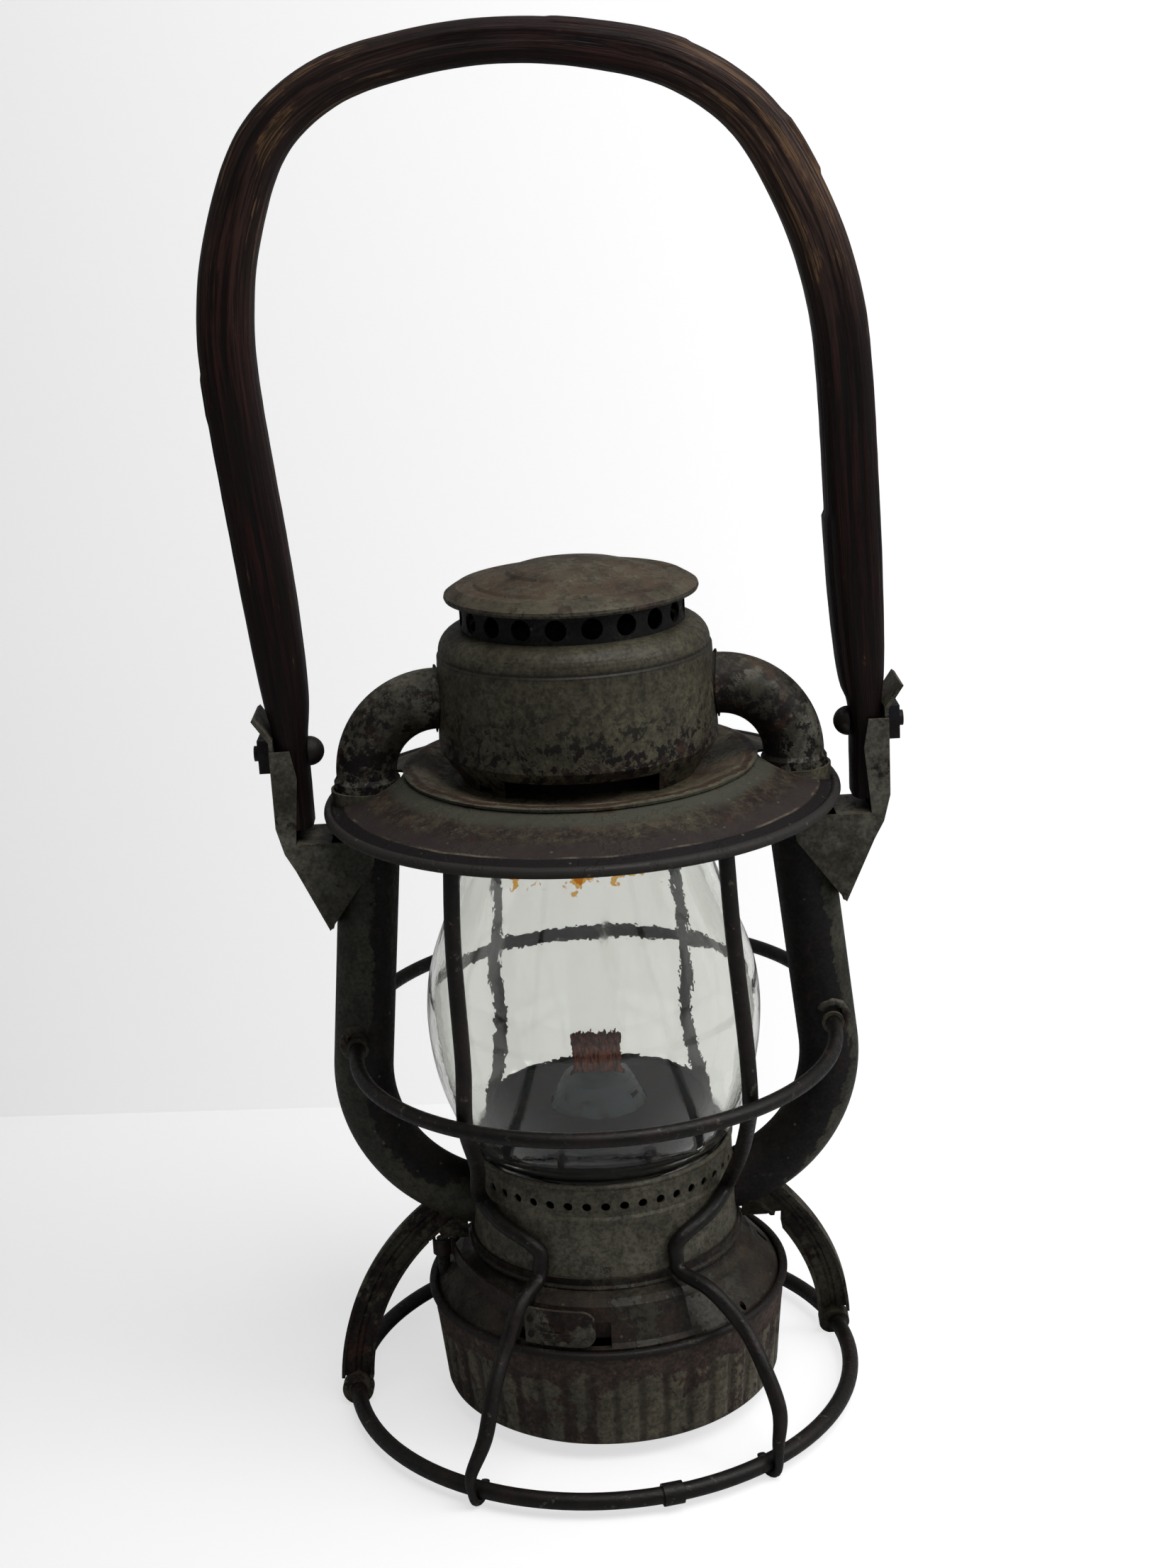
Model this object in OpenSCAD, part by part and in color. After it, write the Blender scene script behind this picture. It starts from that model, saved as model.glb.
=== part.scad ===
// Railroad lantern: a tubular hand lantern with a wire guard and a bent wood bail.
// Millimetres, +Z up. The origin is on the floor, on the axis of the fount,
// the collar and the globe. The front looks along -Y.

/* [Fount] */
// Height of the fount's flat bottom above the floor
fount_lift = 5.5; // [4.5:0.5:10]
// Outer radius of the fount's rolled rim
fount_rim_r = 56.5; // [54:0.5:58]
// Outer radius of the fount at its bottom
fount_foot_r = 52.5; // [49:0.5:54]
// Height of the fount from its bottom to the top of its rim
fount_h = 33; // [30:1:40]
// Sheet thickness of the fount
fount_wall = 1.3; // [1:0.1:1.6]
// Number of pressed flutes round the fount
flute_count = 44; // [24:1:48]
// Depth of each flute
flute_depth = 0.6; // [0.3:0.1:0.8]

/* [Collar] */
// Outer radius of the collar's straight wall
collar_r = 41.2; // [39:0.2:42]
// Height of the collar's rim above the fount's rim
collar_rise = 46.5; // [42:0.5:52]
// Sheet thickness of the collar and its skirt
collar_wall = 0.8; // [0.6:0.1:1.2]
// Number of air holes round the collar
collar_holes = 45; // [30:1:48]
// Diameter of one air hole
collar_hole_d = 2.7; // [2:0.1:3.2]

/* [Globe] */
// Outer radius of the globe at its widest
globe_r = 50.8; // [50:0.2:52]
// Height of the globe
globe_h = 109; // [104:1:116]
// Thickness of the glass
globe_wall = 2.2; // [1.8:0.1:2.6]

/* [Burner] */
// Radius of the round deck that the cone stands in
deck_r = 35.6; // [33:0.2:36]
// Height of the deck above the globe's foot
deck_rise = 11; // [9:0.5:13]
// Radius of the burner cone at its foot
cone_r = 15; // [13:0.5:17]
// Height of the burner cone above the deck
cone_h = 10; // [8:0.5:14]
// Width of the flat wick
wick_w = 15.2; // [12:0.2:16]
// Thickness of the flat wick
wick_t = 2.5; // [2:0.1:3]
// How far the wick stands out of the cone
wick_out = 11; // [2:0.5:12]

/* [Side tubes] */
// Diameter of the side tubes and of the hood's elbows
tube_d = 18.2; // [16:0.2:19]
// Sheet thickness of the tubes
tube_wall = 0.8; // [0.6:0.1:1]
// Distance of a side tube's widest bow from the lantern's axis
tube_reach = 71.6; // [70:0.2:73]
// Bend radius of a side tube's lower end
tube_bend_r = 44.5; // [42:0.5:47]
// Angle by which a side tube's upper part leans in
tube_lean = 5.9; // [5:0.1:6.5]
// Height of a side tube's end above the fount's rim
tube_entry = 27.3; // [26:0.1:29]

/* [Brim] */
// Outer radius of the brim's beaded edge
brim_r = 76.6; // [75:0.2:80]
// Slope of the brim in degrees
brim_slope = 21; // [18:0.5:23]
// Sheet thickness of the brim
brim_wall = 0.8; // [0.6:0.1:1.2]
// Diameter of the bead along the brim's edge
brim_bead_d = 3.2; // [2.6:0.2:3.6]

/* [Hood] */
// Outer radius of the drum at its widest
drum_r = 41.3; // [40:0.1:42.5]
// Height of the drum
drum_h = 45; // [42:0.5:52]
// Sheet thickness of the drum, the crown and the cap
hood_wall = 0.8; // [0.6:0.1:1.1]
// Outer radius of the cap
cap_r = 37.1; // [36:0.1:40]
// Height of the cap's dome above its edge
cap_rise = 8; // [6:0.5:14]
// Outer radius of the perforated crown under the cap
crown_r = 32.8; // [31.6:0.2:33.4]
// Number of vent holes round the crown
crown_holes = 20; // [12:1:22]
// Diameter of one vent hole
crown_hole_d = 6.2; // [4:0.1:6.6]
// Height of the elbows' level ends above the drum's foot
elbow_rise = 24; // [22:0.5:27]

/* [Bail] */
// Distance of the bail's foot from the lantern's axis
bail_x = 84.5; // [84:0.1:86]
// Height of the bail's top above its feet
bail_h = 225; // [190:1:250]
// How far the bail's top leans to one side
bail_lean = 12; // [0:1:16]
// Thickness of the bail at its sides
bail_t = 15.8; // [13:0.2:17]
// Width of the bail from front to back
bail_w = 17; // [15:0.2:18]
// Shank diameter of the bail bolts
bolt_d = 4.6; // [4:0.1:5.4]
// Width across the flats of the square nuts
nut_w = 10; // [8:0.5:11]

/* [Guard] */
// Diameter of the guard's upright wires
wire_d = 4.6; // [4:0.1:4.8]
// Diameter of the guard ring's wire
guard_wire_d = 4.5; // [4:0.1:4.8]
// Height of the guard ring above the collar's rim
guard_rise = 35; // [30:1:40]
// Radius of each half of the guard ring
guard_r = 72; // [71:0.5:74]
// Diameter of the base ring's wire
base_wire_d = 5; // [4.6:0.1:5.4]
// Radius of the base ring
base_ring_r = 78.2; // [76:0.2:82]
// Sideways offset of the bent base ring
base_shift = -3; // [-4:0.5:3]
// How far forward the bent base ring sits
base_forward = 2; // [0:0.5:3]
// How far forward the left foot stands
left_foot_y = -9; // [-12:1:12]
// How far back the right foot stands
right_foot_y = 17; // [-12:1:19]
// Width of the pressed side legs
leg_w = 10; // [8:0.5:11]
// Distance from the axis at which the side legs meet the tubes
leg_top_x = 52; // [49:0.5:54]

/* [Latch] */
// Height of the thumb tab
tab_h = 11.4; // [9:0.2:12]
// Angle that the thumb tab spans round the skirt
tab_span = 23; // [18:1:26]
// Thickness of the latch's sheet
latch_t = 1.1; // [0.8:0.1:1.2]

/* [Hidden] */
$fn = 96;

// Clearances
slip = 0.1;
seat = 0.3;
weld = 0.05;
over = 1;

// Colours of the finishes
paint = "#3c3a32";
worn = "#453630";
wood = "#3c1912";
steel_blue = "#465058";
brown = "#5a4438";

// Heights, from the floor up
rim_z = fount_lift + fount_h;
shelf_edge_z = rim_z - 1;
shelf_top_z = rim_z + 5;
collar_z0 = rim_z + 12.8;
collar_z1 = rim_z + collar_rise;
foot_z = collar_z1 - 1;
deck_z = foot_z + deck_rise;
globe_z1 = foot_z + globe_h;
brim_z = globe_z1 + 1;
guard_z = collar_z1 + guard_rise;

// Brim and what stands in it
brim_hole_r = globe_r + seat;
brim_tan = tan(brim_slope);
brim_in_z = brim_top(brim_hole_r);
dish_z = brim_in_z - 2.5;
socket_r = tube_d / 2 + 1.8;
socket_bore_r = socket_r - tube_wall;
socket_z0 = brim_z - 8;
brim_bead_proud = 0.9;
tube_top_z = socket_z0 + 4;

// Side tube: the centre of its bend, and where its straight part begins and ends
entry_z = rim_z + tube_entry;
bend_x = tube_reach - tube_bend_r;
bend_z = entry_z + sqrt(tube_bend_r * tube_bend_r - (collar_r - bend_x) * (collar_r - bend_x));
lean_x = bend_x + tube_bend_r * cos(tube_lean);
lean_z = bend_z + tube_bend_r * sin(tube_lean);
tube_top_x = lean_x - (tube_top_z - lean_z) * tan(tube_lean);

// Hood
drum_z0 = dish_z;
drum_z1 = drum_z0 + drum_h;
elbow_z = drum_z0 + elbow_rise;
elbow_in_x = drum_r + 0.3;
elbow_bend_r = tube_top_x - elbow_in_x;
elbow_r = tube_d / 2 - slip;
flue_r = 26.5;
crown_z1 = drum_z1 + 11.5;
cap_z = crown_z1 + hood_wall - 2.4;

// Bail and its ears
bail_z = brim_z - 4.5;
bail_foot_t = 9;
bail_play = 0.4;
web_x = bail_x + bail_foot_t / 2 + bail_play;
web_t = 1.1;
ear_y = tube_d / 2 + 0.2;
ear_t = 1;
bolt_z = bail_z + 22;

// Guard
wire_r = wire_d / 2;
guard_in = 12;
guard_wire_r = guard_r - (guard_wire_d + wire_d) / 2 - weld;
hook_t = 2.5;
base_z = base_wire_d / 2 + hook_t + slip;

// Latch
tab_r = fount_rim_r - 2.4;
tab_from = -28.5;
tab_z = shelf_edge_z + 1.9;
leaf_z = shelf_top_z + 2.6;
leaf_h = 5.2;
post = [-51.5, -0.6];

// Plain geometry helpers
function unit(v) = v / norm(v);
function arc(c, r, a0, a1, n) =
    [for (i = [0:n]) let (a = a0 + (a1 - a0) * i / n) c + r * [cos(a), sin(a)]];
function turned(v) = [v[1], -v[0]];
function edge_side(p, i) = turned(unit(p[i + 1] - p[i]));
function mitre(p, i) = i == 0 ? edge_side(p, 0)
    : i == len(p) - 1 ? edge_side(p, i - 1)
    : let (m = edge_side(p, i - 1) + edge_side(p, i)) 2 * m / (m * m);
// A sheet of thickness t on the right-hand side of the line p, kept off the far side of the axis
function sheet(p, t) =
    concat(p, [for (i = [len(p) - 1:-1:0]) let (q = p[i] + t * mitre(p, i)) [max(q[0], 0), q[1]]]);
// A smooth curve through all the points of p, with n steps between two of them
function between(a, b, c, d, t) =
    0.5 * (2 * b + (c - a) * t + (2 * a - 5 * b + 4 * c - d) * t * t
        + (3 * b - a - 3 * c + d) * t * t * t);
function smooth(p, n) = concat(
    [for (i = [0:len(p) - 2], k = [0:n - 1])
        between(p[max(i - 1, 0)], p[i], p[i + 1], p[min(i + 2, len(p) - 1)], k / n)],
    [p[len(p) - 1]]);
// Height of the brim's upper face at a radius
function brim_top(r) = brim_z + (brim_r - r) * brim_tan;
function polar(r, a, z) = [r * sin(a), -r * cos(a), z];
function head3(p, i) =
    let (a = p[max(i - 1, 0)], b = p[min(i + 1, len(p) - 1)])
    unit([b[0] - a[0], b[1] - a[1], b[2] - a[2]]);
function square_to(n, t) = unit(n - (n * t) * t);

// A closed skin over equal rings, with flat ends
module loft(rings) {
    n = len(rings[0]);
    last = (len(rings) - 1) * n;
    sides = [for (i = [0:len(rings) - 2], j = [0:n - 1])
        let (a = i * n + j, b = i * n + (j + 1) % n)
        for (f = [[a, b + n, b], [a, a + n, b + n]]) f];
    ends = [[for (j = [0:n - 1]) j], [for (j = [n - 1:-1:0]) last + j]];
    polyhedron([for (ring = rings) each ring], concat(sides, ends), convexity = 8);
}

// A round wire along points that are [x, y, z, radius]
module wire(path, sides) {
    count = len(path);
    across = [for (i = 0, n = square_to([1, 0.3, 0], head3(path, 0)); i < count;
        i = i + 1, n = i < count ? square_to(n, head3(path, i)) : n) n];
    loft([for (i = [0:count - 1])
        let (p = [path[i][0], path[i][1], path[i][2]], t = head3(path, i),
            n = across[i], b = cross(t, n))
        [for (k = [0:sides - 1]) let (a = 360 * k / sides)
            p + path[i][3] * (cos(a) * n + sin(a) * b)]]);
}

module revolve(points) { rotate_extrude() polygon(points); }
module ring_at(z, r, wire_radius) {
    translate([0, 0, z]) rotate_extrude() translate([r, 0]) circle(wire_radius, $fn = 32);
}
module pipe(r_out, r_in, z0, z1) {
    translate([0, 0, z0]) difference() {
        cylinder(r = r_out, h = z1 - z0);
        translate([0, 0, -over]) cylinder(r = r_in, h = z1 - z0 + 2 * over);
    }
}
module pipe_sector(r_out, r_in, h, span) {
    rotate_extrude(angle = span) translate([r_in, 0]) square([r_out - r_in, h]);
}
// Holes that stand square to the axis, on a circle
module hole_row(count, d, z, r, depth, first = 0) {
    for (i = [0:count - 1])
        rotate([0, 0, first + 360 * i / count])
            translate([0, -r, z]) rotate([90, 0, 0])
                cylinder(d = d, h = depth, center = true, $fn = 24);
}
// Side is -1 for the left and 1 for the right
module on_side(side) { if (side < 0) mirror([1, 0, 0]) children(); else children(); }

// Fount
function fount_side_r(z) = fount_foot_r
    + (fount_rim_r - 1.2 - fount_foot_r) * (z - fount_lift) / (fount_h - 3);
rim_roll_d = 2.6;
fount_band_z = rim_z - 9.5;

module fount_body() color(paint) {
    top_z = rim_z - rim_roll_d - slip;
    lean = atan((fount_rim_r - 1.2 - fount_foot_r) / (fount_h - 3));
    flute_r = 1.5;
    difference() {
        revolve(sheet([[fount_side_r(top_z), top_z], [fount_side_r(fount_lift + 1.6), fount_lift + 1.6],
            [fount_foot_r - 0.5, fount_lift + 0.5], [fount_foot_r - 1.7, fount_lift], [0, fount_lift]],
            fount_wall));
        for (i = [0:flute_count - 1])
            rotate([0, 0, 360 * (i + 0.5) / flute_count])
                translate([0, -fount_side_r(fount_lift) - flute_r + flute_depth, fount_lift])
                    rotate([lean, 0, 0]) translate([0, 0, 1.6])
                        cylinder(r = flute_r, h = fount_band_z - fount_lift - 1.6, $fn = 24);
    }
}

module fount_rim() color(worn) {
    ring_at(rim_z - rim_roll_d / 2, fount_rim_r - rim_roll_d / 2, rim_roll_d / 2);
}

module fount_top() color(worn) {
    edge_r = fount_side_r(rim_z - 9) - fount_wall - slip;
    revolve(sheet([[19, rim_z - 1.4], [22, rim_z - 1.4], [27, rim_z - 3.6], [40, rim_z - 5],
        [edge_r, rim_z - 5.6], [edge_r, rim_z - 8]], 0.8));
}

// Burner, which screws into the fount's top
burner_z = rim_z - 1.4;
burner_r = 15.5;
burner_top_z = deck_z - 6;
wick_top_z = deck_z + cone_h + wick_out;
wick_low_z = fount_lift + 14;
slot_w = wick_w + 1.2;
slot_t = wick_t + 1.2;
shaft_r = 1.2;
shaft_z = rim_z + 22;
shaft_y = 5;
knob_x = 30;
module slot_bar(w, t, z0, z1) {
    translate([-w / 2, -t / 2, z0]) cube([w, t, z1 - z0]);
}

module burner_collar() color(brown) {
    z1 = burner_z + 4;
    pipe(21, 16.6, burner_z, burner_z + 1.2);
    pipe(18.6, 16.6, burner_z - 6, z1);
    ring_at(z1 - 1.2, 18.4, 1.1);
}

module burner_body() color(brown) {
    difference() {
        revolve([[burner_r + 1, burner_z - 4], [burner_r + 1, burner_z + 5], [burner_r, burner_z + 6],
            [burner_r, burner_top_z], [burner_r - 0.8, burner_top_z], [burner_r - 0.8, burner_z + 6],
            [0, burner_z + 5], [0, burner_z - 4]]);
        slot_bar(wick_w + 2.8, wick_t + 2.8, burner_z - 5, burner_z + 8);
        hole_row(12, 4, burner_z + 12, burner_r, 6);
        translate([0, shaft_y, shaft_z]) rotate([0, 90, 0]) cylinder(r = shaft_r + slip, h = 20, $fn = 24);
    }
}

module burner_cone() color(steel_blue) {
    top_r = 10.6;
    difference() {
        revolve(sheet([[0, deck_z + cone_h], [top_r - 4, deck_z + cone_h - 0.3],
            [top_r, deck_z + cone_h - 1.8], [cone_r - 2.4, deck_z + cone_h * 0.42],
            [cone_r - 0.8, deck_z + 1], [cone_r - seat, deck_z - 0.6],
            [cone_r - seat, burner_top_z]], 0.7));
        slot_bar(slot_w, slot_t, deck_z, deck_z + cone_h + 1);
        rotate([0, 0, 62]) translate([0, -cone_r + 2.4, deck_z + 3.6]) rotate([60, 0, 0])
            slot_bar(4.4, 1.6, -3, 3);
    }
}

module wick_tube() color(brown) {
    difference() {
        slot_bar(wick_w + 2.6, wick_t + 2.6, fount_lift + 24, deck_z + cone_h - 3);
        slot_bar(wick_w + 2 * slip, wick_t + 2 * slip, fount_lift, deck_z + cone_h);
        translate([0, wick_t, shaft_z]) cube([9, wick_t + 2, 6], center = true);
    }
}

module wick() color("#6e3c32") {
    slot_bar(wick_w, wick_t, wick_low_z, wick_top_z);
}

// The shaft's toothed wheels reach the wick through a window in its tube
wheel_r = shaft_y - wick_t / 2 - seat;
module wick_shaft() color(worn) {
    translate([0, shaft_y, shaft_z]) rotate([0, 90, 0]) {
        translate([0, 0, -5]) cylinder(r = shaft_r, h = knob_x + 5, $fn = 24);
        for (x = [-2.6, 1.4])
            translate([0, 0, x]) cylinder(r = wheel_r, h = 1.2, $fn = 12);
    }
}

module wick_knob() color(brown) {
    translate([knob_x, shaft_y, shaft_z]) rotate([0, 90, 0]) difference() {
        cylinder(r = 5, h = 2.4, $fn = 64);
        for (i = [0:11]) rotate([0, 0, 30 * i]) translate([5.5, 0, -over])
            cylinder(r = 1, h = 5, $fn = 16);
    }
}

// Collar: a perforated band with a rolled rim
collar_bead = 0.9;
collar_bead_r = collar_r - 1.2;
module collar() color(paint) {
    ledge_z = collar_z1 - 11;
    upper_r = collar_r - 0.7;
    difference() {
        union() {
            revolve(sheet([[upper_r - 0.3, collar_z1 - 0.9], [upper_r, collar_z1 - 1.4],
                [upper_r, ledge_z + 0.8], [collar_r, ledge_z], [collar_r, collar_z0]], collar_wall));
            ring_at(collar_z1 - collar_bead, collar_bead_r, collar_bead);
        }
        hole_row(collar_holes, collar_hole_d, collar_z1 - 7, collar_r, 8);
        for (side = [-1, 1]) on_side(side) tube_run(tube_d / 2 - tube_wall, 0);
    }
}

// Skirt: flares from the collar to a shelf that lies inside the fount's rim
shelf_r = fount_rim_r - rim_roll_d - seat;
flare_r = collar_r + 5.3;
boss_from = -28;
boss_to = 27;
tab_mid = tab_from + tab_span / 2;

module base_skirt() color(paint) {
    lip_r = collar_r + weld + collar_wall;
    boss = [[lip_r, collar_z0 + 0.6], [flare_r, collar_z0], [flare_r + 1.8, collar_z0 - 1.8],
        [shelf_r - 1.4, shelf_edge_z + 2.2], [shelf_r, shelf_edge_z + 1], [shelf_r, shelf_edge_z],
        [flare_r, shelf_top_z], [lip_r, collar_z0 - 3]];
    difference() {
        union() {
            revolve(sheet(concat([[lip_r, collar_z0 + 4], [lip_r, collar_z0 + 1.8],
                [lip_r + 0.7, collar_z0 + 1.1], [lip_r + 0.7, collar_z0 + 0.4],
                [lip_r + 0.3, collar_z0 - 0.4]],
                arc([flare_r + 0.4, collar_z0 + 0.2], 5, 190, 255, 6),
                [[shelf_r - 0.6, shelf_edge_z + 0.6], [shelf_r, shelf_edge_z - 0.6],
                [shelf_r, shelf_edge_z - 2]]), collar_wall));
            rotate([0, 0, boss_from - 90]) rotate_extrude(angle = boss_to - boss_from) polygon(boss);
            translate([post[0], post[1], shelf_edge_z - 0.4])
                cylinder(r = 1.9, h = leaf_z + leaf_h - shelf_edge_z + 0.2, $fn = 32);
        }
        // Room behind the thumb tab for its travel
        rotate([0, 0, tab_from - 4 - 90]) rotate_extrude(angle = tab_span + 9)
            polygon([[tab_r - 4.2, tab_z - 0.8], [tab_r + 5, tab_z - 0.8],
                [tab_r + 5, collar_z0 + 3], [tab_r - 4.2, collar_z0 + 3]]);
        rotate([0, 0, tab_from - 6]) translate([0, -tab_r, shelf_edge_z + 0.8])
            cube([6, 3, 5], center = true);
        rotate([0, 0, 50]) translate([0, -shelf_r + 1.6, shelf_edge_z])
            cylinder(d = 2, h = 8, center = true);
        rotate([0, 0, 96]) translate([0, -flare_r - 3, shelf_top_z]) cube([2.4, 3, 9], center = true);
    }
}

// Round deck with a turned-down side, and the ledge that the globe stands on
module globe_plate() color(steel_blue) {
    ledge_r = collar_bead_r - collar_bead - slip;
    revolve(sheet([[cone_r, deck_z], [deck_r - 3.2, deck_z], [deck_r - 2.8, deck_z + 0.4],
        [deck_r - 2, deck_z + 0.4], [deck_r - 1.6, deck_z], [deck_r - 0.6, deck_z],
        [deck_r, deck_z - 0.6], [deck_r, foot_z]], 0.7));
    pipe(ledge_r, deck_r - 0.7, foot_z - 0.9, foot_z);
}

// Globe: radius and height of the outline as shares of the widest radius and the height
module globe() color("#c8d0d0", 0.35) {
    outline = [[0.757, 0], [0.782, 0.02], [0.855, 0.075], [0.935, 0.175], [0.982, 0.275], [1, 0.385],
        [0.983, 0.485], [0.944, 0.56], [0.855, 0.67], [0.768, 0.78], [0.7, 0.88], [0.664, 0.955], [0.658, 1]];
    curve = smooth([for (p = outline) [p[0] * globe_r, foot_z + p[1] * globe_h]], 4);
    revolve(sheet([for (i = [len(curve) - 1:-1:0]) curve[i]], globe_wall));
}

// Latch: a leaf spring from a post on the skirt to a thumb tab at the front
tab_start = polar(tab_r - latch_t, tab_from + 1, 0);
module latch_leaf() color(brown) {
    a = post + [2.9, -1.4];
    b = [tab_start[0], tab_start[1]];
    bow = 82;
    half = norm(b - a) / 2;
    dir = (b - a) / (2 * half);
    centre = (a + b) / 2 + sqrt(bow * bow - half * half) * [-dir[1], dir[0]];
    from = atan2(a[1] - centre[1], a[0] - centre[0]);
    t = 0.7;
    translate([0, 0, leaf_z]) {
        translate(centre) rotate([0, 0, from]) rotate_extrude(angle = 2 * asin(half / bow), $fn = 360)
            translate([bow - t, 0]) square([t, leaf_h]);
        // The leaf's end is curled round the post
        translate(post) rotate([0, 0, -205]) rotate_extrude(angle = 180)
            translate([2.5, 0]) square([t, leaf_h]);
        translate(post + [2.9, -1.2]) cylinder(r = 0.8, h = leaf_h, $fn = 32);
    }
}

module latch_tab() color(paint) {
    round_r = 4;
    w = tab_r * tab_span * PI / 360;
    h = tab_h / 2;
    dimple_r = 1.8;
    difference() {
        intersection() {
            rotate([0, 0, tab_from - 90]) translate([0, 0, tab_z - 1])
                pipe_sector(tab_r, tab_r - latch_t, tab_h + 2, tab_span);
            rotate([0, 0, tab_mid]) translate([0, -tab_r + 12, tab_z + h]) rotate([90, 0, 0])
                linear_extrude(30) polygon(concat([[-w - 5, h], [-w - 5, -h]],
                    arc([w - round_r, round_r - h], round_r, -90, 0, 12),
                    arc([w - round_r, h - round_r], round_r, 0, 90, 12)));
        }
        // Oblong dimple for the thumb
        rotate([0, 0, tab_mid - 3]) translate([0, latch_t / 2 - tab_r, tab_z + h]) rotate([90, 0, 0])
            linear_extrude(3) polygon(concat(arc([2.9, 0], dimple_r, -90, 90, 12),
                arc([-2.9, 0], dimple_r, 90, 270, 12)));
    }
}

module latch_rivets() color(worn) {
    for (z = [0.28, 0.72])
        rotate([0, 0, tab_from + 2.2]) translate([0, -tab_r, tab_z + tab_h * z])
            rotate([90, 0, 0]) cylinder(r = 1, h = 0.7, $fn = 24);
}

// Side tubes
module disc(outer, inner) {
    difference() {
        circle(outer);
        if (inner > 0) circle(inner);
    }
}
// The run of a side tube, from inside the collar to past its end: solid when inner is 0
module tube_run(outer, inner) {
    sweep = 84;
    straight = (tube_top_z - lean_z) / cos(tube_lean) + 3;
    translate([lean_x, 0, lean_z]) rotate([0, -tube_lean, 0]) {
        translate([-tube_bend_r, 0, 0]) rotate([-90, 0, 0])
            rotate_extrude(angle = sweep) translate([tube_bend_r, 0]) disc(outer, inner);
        linear_extrude(straight) disc(outer, inner);
    }
}

module side_tube() color(paint) {
    difference() {
        tube_run(tube_d / 2, tube_d / 2 - tube_wall);
        cylinder(r = collar_r + weld, h = 100);
        translate([0, -50, tube_top_z]) cube(100);
    }
}
module side_tube_left() { on_side(-1) side_tube(); }
module side_tube_right() { on_side(1) side_tube(); }

// A cup that hangs in the brim, with the side tube's end standing in its floor
module tube_socket() color(paint) {
    difference() {
        translate([tube_top_x, 0, 0]) {
            pipe(socket_r, socket_bore_r, socket_z0 + 1, brim_z + 5.6);
            translate([0, 0, socket_z0]) cylinder(r = socket_r, h = 1);
        }
        translate([lean_x, 0, lean_z]) rotate([0, -tube_lean, 0])
            cylinder(r = tube_d / 2 + weld, h = 100);
    }
}
module tube_socket_left() { on_side(-1) tube_socket(); }
module tube_socket_right() { on_side(1) tube_socket(); }

// Brim
module top_plate() color(worn) {
    edge_r = brim_r - brim_bead_d / 2;
    difference() {
        union() {
            revolve(sheet([[brim_hole_r, brim_in_z], [edge_r, brim_top(edge_r)]], brim_wall));
            ring_at(brim_top(edge_r) - brim_bead_d / 2 + brim_bead_proud, edge_r, brim_bead_d / 2);
        }
        for (side = [-1, 1]) translate([side * tube_top_x, 0, brim_z - 20]) cylinder(r = socket_r, h = 60);
    }
}

// Bail and the ears that hold it
module ear_outline() {
    polygon([[web_x + web_t, bolt_z + 2.6], [web_x - 4.9, bolt_z + 2.6], [web_x - 6.4, bolt_z - 6],
        [web_x - 5, bolt_z - 20], [web_x - 4.5, socket_z0 - 0.4], [web_x - 28, socket_z0 - 0.4],
        [web_x - 26.8, socket_z0 - 8], [web_x - 12.4, socket_z0 - 27.6], [web_x - 3.8, socket_z0 - 8.4],
        [web_x - 0.9, socket_z0 - 3], [web_x + web_t, socket_z0 + 5]]);
}

module bail_bracket() color(paint) {
    web = [[web_x + 5.6, bolt_z + 12], [web_x + web_t, bolt_z + nut_w / 2 + seat],
        [web_x + web_t, socket_z0 + 5], [web_x - 0.9, socket_z0 - 3],
        [web_x - 3.8, socket_z0 - 8.4], [web_x - 12.4, socket_z0 - 27.6]];
    difference() {
        union() {
            for (y = [-ear_y - ear_t, ear_y])
                translate([0, y + ear_t, 0]) rotate([90, 0, 0]) linear_extrude(ear_t) ear_outline();
            translate([0, ear_y + weld, 0]) rotate([90, 0, 0])
                linear_extrude(2 * ear_y + 2 * weld) polygon(sheet(web, web_t));
            translate([tube_top_x + socket_r + 0.3, -ear_y - weld, socket_z0 - 1.4])
                cube([web_x - 4.5 - tube_top_x - socket_r - 0.3, 2 * ear_y + 2 * weld, 1]);
        }
        tube_run(tube_d / 2 + weld, 0);
        translate([web_x, 0, bolt_z]) rotate([0, 90, 0])
            cylinder(d = bolt_d + 2 * slip, h = 10, center = true, $fn = 32);
    }
}
module bail_bracket_left() { on_side(-1) bail_bracket(); }
module bail_bracket_right() { on_side(1) bail_bracket(); }

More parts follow.
